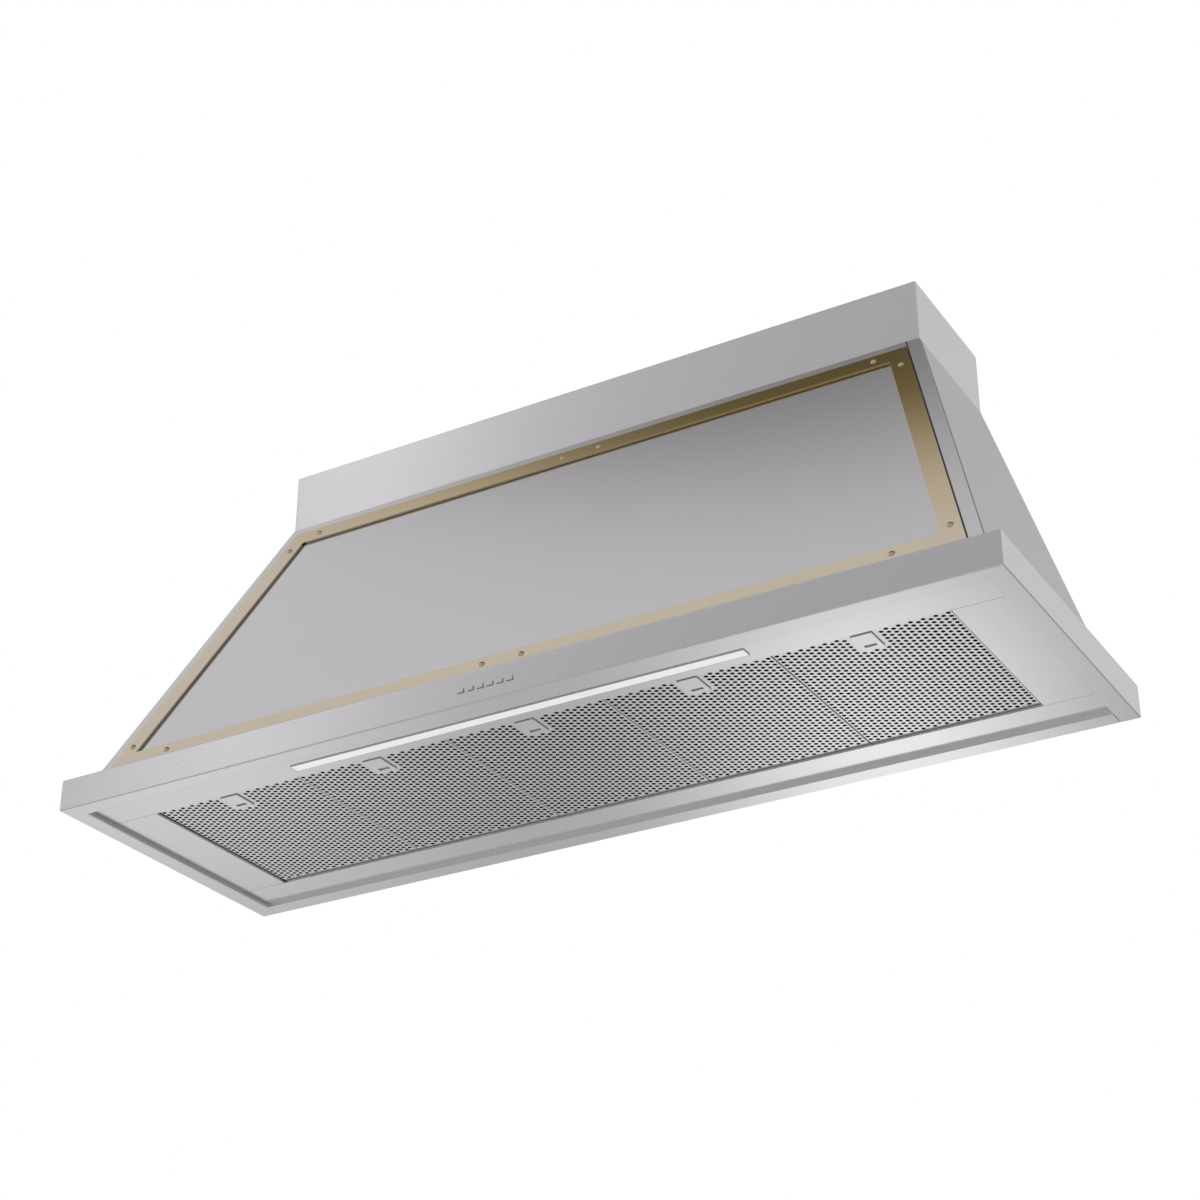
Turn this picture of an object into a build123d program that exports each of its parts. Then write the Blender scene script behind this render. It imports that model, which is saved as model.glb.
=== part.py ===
from build123d import *
import os
from math import cos, hypot, radians, sin

os.makedirs("parts", exist_ok=True)

# Frame: X to the right, the front towards -Y, the wall at Y = 0, Z up, Z = 0 at the rim's bottom.
# All sizes in millimetres.

# Rim
RIM_HALF = 750.0
RIM_DEPTH = 500.0
RIM_HEIGHT = 50.0
RIM_SHEET = 1.5
FLANGE = 30.0
LIP_TOP = 20.0
LEDGE = 42.0
BEND = 1.2
CORNER_ROUND = 2.5

# Canopy: the foot stands on the rim, the top carries the box
FOOT_HALF = 720.0
FOOT_FRONT = -470.0
TOP_HALF = 557.5
TOP_FRONT = -230.0
CANOPY_TOP = 560.0
BOX_TOP = 660.0
COVER_SHEET = 2.0
SIDE_SHEET = 1.5
SIDE_FLANGE = 20.0
BACK_SHEET = 1.5
COVER_FOOT_FOLD = 16.0
COVER_HEAD_FOLD = 8.0
FOLD_CLEAR = 5.0

# Wall fixing holes
WALL_HOLE_RADIUS = 5.0
WALL_HOLE_X = 450.0
WALL_HOLE_Z = (110.0, 470.0)

# Underside
PANEL_Z = 7.0
PANEL_SHEET = 1.2
PANEL_LIP_TOP = 22.0
OPENING_HALF = 642.0
OPENING_FRONT = -409.0
OPENING_REAR = -88.0
PANEL_GAP = 0.6
PANEL_BEND = 1.0

# Filters and their latches
FILTERS = 5
FILTER_PITCH = 256.4
FILTER_WIDTH = 255.4
FILTER_FRONT = -408.5
FILTER_REAR = -89.0
FILTER_Z = 10.5
FILTER_HEIGHT = 10.0
FILTER_SHEET = 1.0
TRAY_ROUND = 1.5
TRAY_RETURN = 8.0
HOLE_DIAMETER = 11.2
HOLE_COLUMNS = 17
HOLE_COLUMN_PITCH = 14.95
HOLE_ROWS = 18
HOLE_ROW_PITCH = 16.9
HOLE_FIRST_ROW = -396.0
LATCH_CLEAR_X = 21.5
LATCH_CLEAR_Y = -346.1
TAB_X = 85.0
TAB_WIDTH = 20.0
TAB_REACH = 9.0
TAB_Z = 13.3
TAB_SHEET = 1.5
NOTCH_Z = 13.0
NOTCH_WIDTH = 24.0
PLEATS = 32
PLEAT_FOOT = 14.2
PLEAT_SHEET = 0.8
MESH_GAP = 0.2
LATCH_TRAVEL = 6.0
LATCH_SPAN = (-400.5, -356.7)
LATCH_LEVELS = (8.5, 10.2)
LATCH_HALF = 15.5
FINGER_PLACE = -368.3
FINGER_SIZE = (18.0, 6.6)
NECK_SPAN = (-392.0, -380.0)
NECK_HALF = 6.0
NECK_CLEAR = 0.6
GUIDE_SPAN = (-405.0, -364.0)
GUIDE_LEVELS = (11.8, 13.3)
GUIDE_HALF = 10.0
TONGUE_HALF = 8.0
TONGUE_CLEAR = (0.5, 0.4)
SPRING_SPAN = (-366.0, -352.0)
SPRING_LEVELS = (12.3, 12.8)
SPRING_HALF = 3.0
KEEPER_HALF = 9.0
KEEPER_LEVELS = (11.0, 14.5)

# Lamp and switches
LAMP_HALF = 366.0
LAMP_FRONT = -446.0
LAMP_REAR = -428.0
LAMP_Z = 5.5
LAMP_TOP = 26.0
LAMP_SHEET = 1.0
LAMP_SEAT = 0.8
LAMP_RIM = 2.0
LAMP_CUT = 1.5
BOARD_HALF = 355.0
BOARD_WIDTH = 10.0
LED_SIZE = (3.5, 2.8, 0.8)
LED_PITCH = 15.0
LED_REACH = 23
DRIVER_X = (450.0, 600.0)
DRIVER_Y = (-462.0, -422.0)
DRIVER_HEIGHT = 22.0
BUTTONS = 6
BUTTON_PITCH = 15.8
BUTTON_SIZE = (10.0, 6.0)
BUTTON_Z = 23.0
BUTTON_PROUD = 2.0
BUTTON_GAP = 0.3
BUTTON_TRAVEL = 1.5
SHOULDER_HALF = 6.0
SHOULDER = (0.3, 1.6)
STEM_RADIUS = 2.5
STEM_END = 11.0
POCKET_CLEAR = (0.5, 0.4)
STEM_CLEAR = 0.4
SWITCH_HALF = 52.0
SWITCH_REAR = -478.0
SWITCH_LEVELS = (12.0, 38.0)

# Brass frame on the slope, measured along the slope from its top edge
TRIM_WIDTH = 30.0
TRIM_MARGIN = 21.0
TRIM_THICK = 4.0
TRIM_REBATE = 1.5
TRIM_REBATE_DEPTH = 2.0
TRIM_ROUND = 0.5
TRIM_FOOT = 548.0
JOINT_SCREW_X = 32.0
TOP_SCREW_X = 492.0
FOOT_SCREW_X = 588.0
SIDE_SCREW_DOWN = (67.0, 503.4)
HEAD_RADIUS = 5.0
HEAD_HEIGHT = 3.0
HEAD_SLOT = 1.4
SHANK_RADIUS = 2.0
SHANK_HOLE = 2.2
SHANK_END = 2.0
PAN_RADIUS = 4.0
PAN_HEIGHT = 2.6
PAN_ROUND = 1.2
PAN_SHANK = 6.0
PAN_CROSS = (2.4, 0.5)
PAN_CROSS_DEPTH = 1.0

# Blower
SCROLL_CENTRE = (-175.0, 310.0)
SCROLL_RADIUS = 112.0
SCROLL_STEP = 14.0
SCROLL_HALF = 95.0
SCROLL_SHEET = 1.5
SCROLL_TOP = 500.0
OUTLET_FLANGE = (12.0, 7.0)
WHEEL_CENTRE = (-168.0, 317.0)
WHEEL_RADIUS = 95.0
WHEEL_INNER = 78.0
WHEEL_HALF = 80.0
WHEEL_RING = (9.0, 2.0)
WHEEL_DISC = 4.0
HUB_RADIUS = 14.0
HUB_LENGTH = 14.0
BLADES = 32
BLADE_SIZE = (18.5, 1.2)
BLADE_ANGLE = 32.0
INLET_RADIUS = 80.0
MOTOR_RADIUS = 46.0
MOTOR_START = 8.0
MOTOR_ROUND = 6.0
SHAFT_RADIUS = 5.0
SHAFT_FIT = 0.05
SHAFT_SPAN = (-16.0, 66.0)
SHAFT_SOCKET = 60.0
BRACKET_SHEET = 2.0
BRACKET_HUB = 24.0
ARM_WIDTH = 16.0
ARM_END = 7.5
BRACKET_SCREW = 6.5

# Duct collar and damper
DUCT_CENTRE = (0.0, -115.0)
COLLAR_RADIUS = 100.0
COLLAR_SHEET = 1.5
COLLAR_TOP = 650.0
COLLAR_FLANGE = (236.0, 216.0)
COLLAR_SCREWS = (105.0, 95.0)
DECK_SHEET = 1.5
DECK_HOLE = 98.0
DUCT_FLANGE = 8.0
ROD_Z = 580.0
ROD_RADIUS = 2.5
ROD_HOLE = 2.6
ROD_INSET = 0.2
KNUCKLE_BORE = 2.58
KNUCKLE_RADIUS = 4.0
FRONT_KNUCKLES = ((-88.0, -45.0), (1.0, 43.0))
REAR_KNUCKLES = ((-43.0, -1.0), (45.0, 88.0))
FLAP_RADIUS = 96.5
FLAP_Z = 574.2
FLAP_SHEET = 1.5
FLAP_GAP = 1.5
SEAT_WIDTH = 6.0
SEAT_SHEET = 2.0
SEAT_DROP = 0.3

# Junction box and cable gland
JUNCTION_X = 300.0
JUNCTION_SIZE = (120.0, 80.0, 45.0)
JUNCTION_ROUND = 4.0
GLAND_HOLE = 8.0
GLAND_THREAD = 7.8
GLAND_THREAD_DEPTH = 12.0
GLAND_HEX = 11.5
GLAND_NUT = 6.0
GLAND_CAP = (9.6, 13.0)
GLAND_BORE = 5.0

# Places worked out from the sizes above
slope_run = TOP_FRONT - FOOT_FRONT
slope_rise = CANOPY_TOP - RIM_HEIGHT
slope_length = hypot(slope_run, slope_rise)
cover_level = COVER_SHEET * slope_length / slope_rise
slope_spread = (FOOT_HALF - TOP_HALF) / slope_length
slope_plane = Plane(
    origin=(0, TOP_FRONT, CANOPY_TOP),
    x_dir=(1, 0, 0),
    z_dir=(0, -slope_rise, slope_run),
)
duct_x, duct_y = DUCT_CENTRE
wheel_y, wheel_z = WHEEL_CENTRE
filter_places = [(number - (FILTERS + 1) / 2) * FILTER_PITCH for number in range(1, FILTERS + 1)]
button_places = [(number - (BUTTONS + 1) / 2) * BUTTON_PITCH for number in range(1, BUTTONS + 1)]


def block(x, y, z, mode=Mode.ADD):
    """Add or cut a box between two limits along each axis."""
    limits = (x, y, z)
    with Locations(tuple((low + high) / 2 for low, high in limits)):
        Box(*(high - low for low, high in limits), mode=mode)


def side_plane(inset):
    """The plane of the right side panel's outer face, moved level inwards by inset, facing out."""
    return Plane(
        origin=(FOOT_HALF - inset, 0, RIM_HEIGHT),
        x_dir=(0, 1, 0),
        z_dir=(slope_rise, 0, FOOT_HALF - TOP_HALF),
    )


def front_mitre(side):
    """The upright plane that halves the rim's front corner, facing the side piece."""
    return Plane(origin=(side * RIM_HALF, -RIM_DEPTH, 0), x_dir=(0, 0, 1), z_dir=(side, 1, 0))


# Rim: folded sheet with a lip, a bottom flange, a face and a top ledge
half_sheet = RIM_SHEET / 2
button_half, button_rise = (size / 2 for size in BUTTON_SIZE)
window_half = button_half + BUTTON_GAP
window_rise = button_rise + BUTTON_GAP

with BuildPart() as rim_front:
    with BuildSketch(Plane.YZ.offset(-RIM_HALF)):
        with BuildLine():
            FilletPolyline(
                (-RIM_DEPTH + FLANGE - half_sheet, LIP_TOP),
                (-RIM_DEPTH + FLANGE - half_sheet, half_sheet),
                (-RIM_DEPTH + half_sheet, half_sheet),
                (-RIM_DEPTH + half_sheet, RIM_HEIGHT - half_sheet),
                (-RIM_DEPTH + LEDGE, RIM_HEIGHT - half_sheet),
                radius=BEND,
            )
        trace(line_width=RIM_SHEET)
    extrude(amount=2 * RIM_HALF)
    split(bisect_by=front_mitre(1), keep=Keep.BOTTOM)
    split(bisect_by=front_mitre(-1), keep=Keep.BOTTOM)
    for x in button_places:
        block(
            (x - window_half, x + window_half),
            (-RIM_DEPTH - 1, -RIM_DEPTH + RIM_SHEET + 1),
            (BUTTON_Z - window_rise, BUTTON_Z + window_rise),
            mode=Mode.SUBTRACT,
        )
rim_front.part.label = "rim_front"
export_step(rim_front.part, "parts/rim_front.step")

with BuildPart() as rim_right:
    with BuildSketch(Plane.XZ):
        with BuildLine():
            FilletPolyline(
                (RIM_HALF - FLANGE + half_sheet, LIP_TOP),
                (RIM_HALF - FLANGE + half_sheet, half_sheet),
                (RIM_HALF - half_sheet, half_sheet),
                (RIM_HALF - half_sheet, RIM_HEIGHT - half_sheet),
                (RIM_HALF - LEDGE, RIM_HEIGHT - half_sheet),
                radius=BEND,
            )
        trace(line_width=RIM_SHEET)
    extrude(amount=RIM_DEPTH)
    split(bisect_by=front_mitre(1), keep=Keep.TOP)
    block(
        (RIM_HALF - LEDGE - 1, RIM_HALF - RIM_SHEET),
        (-BACK_SHEET, 1),
        (RIM_SHEET, RIM_HEIGHT + 1),
        mode=Mode.SUBTRACT,
    )
rim_right.part.label = "rim_right"
export_step(rim_right.part, "parts/rim_right.step")

with BuildPart() as rim_left:
    mirror(rim_right.part, about=Plane.YZ)
rim_left.part.label = "rim_left"
export_step(rim_left.part, "parts/rim_left.step")

with BuildPart() as rim_rear:
    block((-FOOT_HALF, FOOT_HALF), (-FLANGE, 0), (0, RIM_SHEET))
    block((-FOOT_HALF, FOOT_HALF), (-FLANGE, -FLANGE + RIM_SHEET), (0, LIP_TOP))
    block((-FOOT_HALF, FOOT_HALF), (-BACK_SHEET - RIM_SHEET, -BACK_SHEET), (0, LIP_TOP))
rim_rear.part.label = "rim_rear"
export_step(rim_rear.part, "parts/rim_rear.step")

# Canopy sides: a wedge less a smaller wedge leaves the wall and its four folded flanges
with BuildPart() as side_hollow:
    with BuildSketch(Plane.YZ.offset(TOP_HALF - 2 * SIDE_FLANGE)):
        with BuildLine():
            inner_front = cover_level + SIDE_SHEET * slope_length / slope_rise
            inner_foot = FOOT_FRONT + inner_front + SIDE_SHEET * slope_run / slope_rise
            inner_head = TOP_FRONT + inner_front - SIDE_SHEET * slope_run / slope_rise
            Polyline(
                (inner_foot, RIM_HEIGHT + SIDE_SHEET),
                (-BACK_SHEET - SIDE_SHEET, RIM_HEIGHT + SIDE_SHEET),
                (-BACK_SHEET - SIDE_SHEET, CANOPY_TOP - SIDE_SHEET),
                (inner_head, CANOPY_TOP - SIDE_SHEET),
                close=True,
            )
        make_face()
    extrude(amount=2 * RIM_HALF)
    split(bisect_by=side_plane(SIDE_SHEET), keep=Keep.BOTTOM)

with BuildPart() as canopy_right:
    with BuildSketch(Plane.YZ.offset(TOP_HALF - SIDE_FLANGE)):
        with BuildLine():
            Polyline(
                (FOOT_FRONT + cover_level, RIM_HEIGHT),
                (0, RIM_HEIGHT),
                (0, CANOPY_TOP),
                (TOP_FRONT + cover_level, CANOPY_TOP),
                close=True,
            )
        make_face()
    extrude(amount=RIM_HALF)
    split(bisect_by=side_plane(0), keep=Keep.BOTTOM)
    split(bisect_by=side_plane(SIDE_FLANGE), keep=Keep.TOP)
    side_edges = canopy_right.edges().filter_by(
        lambda edge: edge.length > slope_length
        and edge.center().Y < TOP_FRONT / 2
        and edge.center().X > (FOOT_HALF + TOP_HALF) / 2 - 5
    )
    fillet(side_edges, radius=CORNER_ROUND)
    add(side_hollow.part, mode=Mode.SUBTRACT)
    with BuildSketch(Plane.XZ):
        with BuildLine():
            Polyline(
                (FOOT_HALF - SIDE_SHEET, RIM_HEIGHT),
                (TOP_HALF - SIDE_SHEET, CANOPY_TOP),
                (TOP_HALF - 2 * SIDE_FLANGE, CANOPY_TOP),
                (TOP_HALF - 2 * SIDE_FLANGE, RIM_HEIGHT),
                close=True,
            )
        make_face()
    extrude(amount=BACK_SHEET, mode=Mode.SUBTRACT)
canopy_right.part.label = "canopy_right"
export_step(canopy_right.part, "parts/canopy_right.step")

with BuildPart() as canopy_left:
    mirror(canopy_right.part, about=Plane.YZ)
canopy_left.part.label = "canopy_left"
export_step(canopy_left.part, "parts/canopy_left.step")

# Trim screws: places on the slope as (x, distance below the top edge)
top_screw_row = TRIM_MARGIN + TRIM_WIDTH / 2
foot_screw_row = TRIM_FOOT - TRIM_WIDTH / 2
side_screw_inset = (TRIM_MARGIN + TRIM_WIDTH / 2) * hypot(1, slope_spread)
half_places = [
    (JOINT_SCREW_X, top_screw_row),
    (TOP_SCREW_X, top_screw_row),
    *((TOP_HALF - side_screw_inset + slope_spread * down, down) for down in SIDE_SCREW_DOWN),
    (FOOT_SCREW_X, foot_screw_row),
    (JOINT_SCREW_X, foot_screw_row),
]
screw_places = [(side * x, -along) for side in (-1, 1) for x, along in half_places]

# Canopy front: the cover sheet, with a foot folded in on the ledge and a fold under the deck
with BuildPart() as canopy_front:
    with BuildSketch(Plane.YZ.offset(-RIM_HALF)):
        with BuildLine():
            Polyline(
                (FOOT_FRONT, RIM_HEIGHT),
                (FOOT_FRONT + cover_level, RIM_HEIGHT),
                (TOP_FRONT + cover_level, CANOPY_TOP),
                (TOP_FRONT, CANOPY_TOP),
                close=True,
            )
        make_face()
    extrude(amount=2 * RIM_HALF)
    split(bisect_by=side_plane(0), keep=Keep.BOTTOM)
    left_plane = Plane(
        origin=(-FOOT_HALF, 0, RIM_HEIGHT),
        x_dir=(0, 1, 0),
        z_dir=(-slope_rise, 0, FOOT_HALF - TOP_HALF),
    )
    split(bisect_by=left_plane, keep=Keep.BOTTOM)
    foot_half = FOOT_HALF - SIDE_FLANGE - FOLD_CLEAR
    head_half = TOP_HALF - SIDE_FLANGE - FOLD_CLEAR
    block(
        (-foot_half, foot_half),
        (FOOT_FRONT + cover_level / 2, FOOT_FRONT + COVER_FOOT_FOLD),
        (RIM_HEIGHT, RIM_HEIGHT + COVER_SHEET),
    )
    block(
        (-head_half, head_half),
        (TOP_FRONT + cover_level / 2, TOP_FRONT + COVER_HEAD_FOLD),
        (CANOPY_TOP - COVER_SHEET, CANOPY_TOP),
    )
    with BuildSketch(slope_plane):
        with Locations(*screw_places):
            Circle(SHANK_HOLE)
    extrude(amount=-COVER_SHEET * 2, mode=Mode.SUBTRACT)
canopy_front.part.label = "canopy_front"
export_step(canopy_front.part, "parts/canopy_front.step")

# Back plate with the wall fixing holes
with BuildPart() as back_plate:
    with BuildSketch(Plane.XZ):
        with BuildLine():
            Polyline(
                (RIM_HALF - RIM_SHEET, RIM_SHEET),
                (RIM_HALF - RIM_SHEET, RIM_HEIGHT),
                (FOOT_HALF - SIDE_SHEET, RIM_HEIGHT),
                (TOP_HALF - SIDE_SHEET, CANOPY_TOP),
                (TOP_HALF - SIDE_SHEET, BOX_TOP),
                (-TOP_HALF + SIDE_SHEET, BOX_TOP),
                (-TOP_HALF + SIDE_SHEET, CANOPY_TOP),
                (-FOOT_HALF + SIDE_SHEET, RIM_HEIGHT),
                (-RIM_HALF + RIM_SHEET, RIM_HEIGHT),
                (-RIM_HALF + RIM_SHEET, RIM_SHEET),
                close=True,
            )
        make_face()
        with Locations(*[(x, z) for x in (-WALL_HOLE_X, WALL_HOLE_X) for z in WALL_HOLE_Z]):
            Circle(WALL_HOLE_RADIUS, mode=Mode.SUBTRACT)
    extrude(amount=BACK_SHEET)
back_plate.part.label = "back_plate"
export_step(back_plate.part, "parts/back_plate.step")

# Upper box: a sleeve open at the top, folded in at the back
with BuildPart() as upper_box:
    with BuildSketch(Plane.XY.offset(CANOPY_TOP)) as sleeve:
        with Locations((0, TOP_FRONT / 2)):
            Rectangle(2 * TOP_HALF, -TOP_FRONT)
        fillet(sleeve.vertices().group_by(Axis.Y)[0], radius=CORNER_ROUND)
        with Locations((0, TOP_FRONT / 2 + SIDE_SHEET)):
            Rectangle(2 * (TOP_HALF - SIDE_SHEET), -TOP_FRONT, mode=Mode.SUBTRACT)
    extrude(amount=BOX_TOP - CANOPY_TOP)
    for side in (-1, 1):
        outer = side * (TOP_HALF - SIDE_SHEET / 2)
        inner = side * (TOP_HALF - SIDE_FLANGE)
        block(
            (min(outer, inner), max(outer, inner)),
            (-BACK_SHEET - SIDE_SHEET, -BACK_SHEET),
            (CANOPY_TOP + DECK_SHEET, BOX_TOP),
        )
upper_box.part.label = "upper_box"
export_step(upper_box.part, "parts/upper_box.step")

# Deck under the box; it carries the duct collar
collar_screws = [
    (duct_x + x_side * COLLAR_SCREWS[0], duct_y + y_side * COLLAR_SCREWS[1])
    for x_side in (-1, 1)
    for y_side in (-1, 1)
]
with BuildPart() as top_deck:
    with BuildSketch(Plane.XY.offset(CANOPY_TOP)):
        with Locations((0, (TOP_FRONT + SIDE_SHEET - BACK_SHEET) / 2)):
            Rectangle(2 * (TOP_HALF - SIDE_SHEET), -TOP_FRONT - SIDE_SHEET - BACK_SHEET)
        with Locations(DUCT_CENTRE):
            Circle(DECK_HOLE, mode=Mode.SUBTRACT)
        with Locations(*collar_screws):
            Circle(SHANK_HOLE, mode=Mode.SUBTRACT)
    extrude(amount=DECK_SHEET)
top_deck.part.label = "top_deck"
export_step(top_deck.part, "parts/top_deck.step")

# Underside panels: flat sheets with folded-up lips
panel_top = PANEL_Z + PANEL_SHEET
panel_half = FOOT_HALF - PANEL_GAP
recess_front = -RIM_DEPTH + FLANGE
recess_rear = -FLANGE

with BuildPart() as underside_front:
    block((-panel_half, panel_half), (recess_front, OPENING_FRONT), (PANEL_Z, panel_top))
    block((-panel_half, panel_half), (recess_front, recess_front + PANEL_SHEET), (PANEL_Z, LIP_TOP))
    block(
        (-OPENING_HALF, OPENING_HALF),
        (OPENING_FRONT - PANEL_SHEET, OPENING_FRONT),
        (PANEL_Z, PANEL_LIP_TOP),
    )
    block(
        (-LAMP_HALF + LAMP_CUT, LAMP_HALF - LAMP_CUT),
        (LAMP_FRONT + LAMP_CUT, LAMP_REAR - LAMP_CUT),
        (PANEL_Z - 1, panel_top + 1),
        mode=Mode.SUBTRACT,
    )
    for x in filter_places:
        block(
            (x - KEEPER_HALF, x + KEEPER_HALF),
            (OPENING_FRONT - PANEL_SHEET - 1, OPENING_FRONT + 1),
            KEEPER_LEVELS,
            mode=Mode.SUBTRACT,
        )
underside_front.part.label = "underside_front"
export_step(underside_front.part, "parts/underside_front.step")

with BuildPart() as underside_rear:
    block((-panel_half, panel_half), (OPENING_REAR, recess_rear), (PANEL_Z, panel_top))
    block((-panel_half, panel_half), (recess_rear - PANEL_SHEET, recess_rear), (PANEL_Z, LIP_TOP))
    block(
        (-OPENING_HALF, OPENING_HALF),
        (OPENING_REAR, OPENING_REAR + PANEL_SHEET),
        (PANEL_Z, PANEL_LIP_TOP),
    )
    for x in [place + tab for place in filter_places for tab in (-TAB_X, TAB_X)]:
        block(
            (x - NOTCH_WIDTH / 2, x + NOTCH_WIDTH / 2),
            (OPENING_REAR - 1, OPENING_REAR + PANEL_SHEET + 1),
            (NOTCH_Z, PANEL_LIP_TOP + 1),
            mode=Mode.SUBTRACT,
        )
underside_rear.part.label = "underside_rear"
export_step(underside_rear.part, "parts/underside_rear.step")

with BuildPart() as underside_right:
    with BuildSketch(Plane.XZ.offset(-OPENING_REAR + PANEL_GAP)):
        with BuildLine():
            FilletPolyline(
                (OPENING_HALF + PANEL_SHEET / 2, PANEL_LIP_TOP),
                (OPENING_HALF + PANEL_SHEET / 2, PANEL_Z + PANEL_SHEET / 2),
                (FOOT_HALF - PANEL_SHEET / 2, PANEL_Z + PANEL_SHEET / 2),
                (FOOT_HALF - PANEL_SHEET / 2, LIP_TOP),
                radius=PANEL_BEND,
            )
        trace(line_width=PANEL_SHEET)
    extrude(amount=OPENING_REAR - OPENING_FRONT - 2 * PANEL_GAP)
underside_right.part.label = "underside_right"
export_step(underside_right.part, "parts/underside_right.step")

with BuildPart() as underside_left:
    mirror(underside_right.part, about=Plane.YZ)
underside_left.part.label = "underside_left"
export_step(underside_left.part, "parts/underside_left.step")


# Brass frame
def margin_line(margin, along):
    """Half-width of a line set in from the slope's side edge by margin, at a distance down it."""
    return TOP_HALF - margin * hypot(1, slope_spread) + slope_spread * along


def frame_corners(outer, inner):
    """The right half frame's corners for an outer and an inner margin, as (x, down)."""
    foot_outer = TRIM_FOOT + TRIM_MARGIN - outer
    foot_inner = TRIM_FOOT + TRIM_MARGIN - inner
    return {
        "top_outer": (margin_line(outer, outer), outer),
        "top_inner": (margin_line(inner, inner), inner),
        "foot_outer": (margin_line(outer, foot_outer), foot_outer),
        "foot_inner": (margin_line(inner, foot_inner), foot_inner),
    }


def strip_outline(strip, inset):
    """Corners of one strip of the frame, its long edges drawn in by inset."""
    corner = frame_corners(TRIM_MARGIN + inset, TRIM_MARGIN + TRIM_WIDTH - inset)
    if strip == "side":
        names = ("top_outer", "foot_outer", "foot_inner", "top_inner")
        return [corner[name] for name in names]
    end = "top" if strip == "top" else "foot"
    outer = corner[end + "_outer"]
    inner = corner[end + "_inner"]
    return [(0, outer[1]), outer, inner, (0, inner[1])]


def trim_strip(strip, side):
    """One brass strip: rebated at the back, rounded along its front edges, drilled for screws."""
    with BuildPart() as piece:
        for inset, low, high in (
            (TRIM_REBATE_DEPTH, 0, TRIM_REBATE),
            (0, TRIM_REBATE, TRIM_THICK),
        ):
            with BuildSketch(slope_plane.offset(low)):
                with BuildLine():
                    points = [(side * x, -down) for x, down in strip_outline(strip, inset)]
                    Polyline(*points, close=True)
                make_face()
            extrude(amount=high - low)
        outward = Axis(slope_plane.origin, slope_plane.z_dir)
        front = piece.faces().filter_by(slope_plane).sort_by(outward)[-1]
        fillet(front.edges().filter_by(lambda edge: edge.length > 2 * TRIM_WIDTH), radius=TRIM_ROUND)
        with BuildSketch(slope_plane):
            with Locations(*screw_places):
                Circle(SHANK_HOLE)
        extrude(amount=2 * TRIM_THICK, mode=Mode.SUBTRACT)
    return piece


for strip, side, name in (
    ("side", -1, "trim_left"),
    ("side", 1, "trim_right"),
    ("top", -1, "trim_top_left"),
    ("top", 1, "trim_top_right"),
    ("foot", -1, "trim_bottom_left"),
    ("foot", 1, "trim_bottom_right"),
):
    trim = trim_strip(strip, side)
    trim.part.label = name
    export_step(trim.part, f"parts/{name}.step")

# Trim screw: a slotted dome head on a plain shank, its seat at Z = 0
dome_radius = (HEAD_RADIUS**2 + HEAD_HEIGHT**2) / (2 * HEAD_HEIGHT)
shank_foot = -TRIM_THICK - COVER_SHEET - SHANK_END
with BuildPart() as trim_screw:
    with BuildSketch(Plane.XZ):
        with BuildLine():
            Line((0, shank_foot), (0, HEAD_HEIGHT))
            RadiusArc((0, HEAD_HEIGHT), (HEAD_RADIUS, 0), dome_radius)
            Polyline(
                (HEAD_RADIUS, 0),
                (SHANK_RADIUS, 0),
                (SHANK_RADIUS, shank_foot),
                (0, shank_foot),
            )
        make_face()
    revolve(axis=Axis.Z)
    block(
        (-HEAD_RADIUS, HEAD_RADIUS),
        (-HEAD_SLOT / 2, HEAD_SLOT / 2),
        (HEAD_HEIGHT - HEAD_SLOT, HEAD_HEIGHT + 1),
        mode=Mode.SUBTRACT,
    )

with BuildPart() as trim_screws:
    with Locations(slope_plane.offset(TRIM_THICK)):
        with Locations(*screw_places):
            add(trim_screw.part)
trim_screws.part.label = "trim_screws"
export_step(trim_screws.part, "parts/trim_screws.step")

# Lamp: a channel with a shallow rim that the diffuser lies in
def lamp_block(inset, levels, mode=Mode.ADD):
    """Add or cut a box as long and wide as the lamp, its four sides set in by inset."""
    block(
        (-LAMP_HALF + inset, LAMP_HALF - inset),
        (LAMP_FRONT + inset, LAMP_REAR - inset),
        levels,
        mode=mode,
    )


with BuildPart() as lamp_housing:
    lamp_block(0, (LAMP_Z, PANEL_Z))
    lamp_block(LAMP_RIM, (PANEL_Z, LAMP_TOP))
    lamp_block(LAMP_SHEET, (LAMP_Z - 1, LAMP_Z + LAMP_SEAT), mode=Mode.SUBTRACT)
    lamp_block(LAMP_RIM + LAMP_SHEET, (LAMP_Z, LAMP_TOP - LAMP_SHEET), mode=Mode.SUBTRACT)
lamp_housing.part.label = "lamp_housing"
export_step(lamp_housing.part, "parts/lamp_housing.step")

with BuildPart() as lamp_diffuser:
    lamp_block(LAMP_SHEET, (LAMP_Z, LAMP_Z + LAMP_SEAT))
    bottom = lamp_diffuser.faces().sort_by(Axis.Z)[0]
    chamfer(bottom.edges(), length=0.3)
lamp_diffuser.part.label = "lamp_diffuser"
export_step(lamp_diffuser.part, "parts/lamp_diffuser.step")

board_top = LAMP_TOP - LAMP_SHEET
board_middle = (LAMP_FRONT + LAMP_REAR) / 2
led_length, led_width, led_height = LED_SIZE
with BuildPart() as led_strip:
    block(
        (-BOARD_HALF, BOARD_HALF),
        (board_middle - BOARD_WIDTH / 2, board_middle + BOARD_WIDTH / 2),
        (board_top - LAMP_SHEET, board_top),
    )
    led_level = board_top - LAMP_SHEET - led_height / 2
    led_rows = [x * LED_PITCH for x in range(-LED_REACH, LED_REACH + 1)]
    with Locations(*[(x, board_middle, led_level) for x in led_rows]):
        Box(led_length, led_width, led_height)
led_strip.part.label = "led_strip"
export_step(led_strip.part, "parts/led_strip.step")

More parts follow.
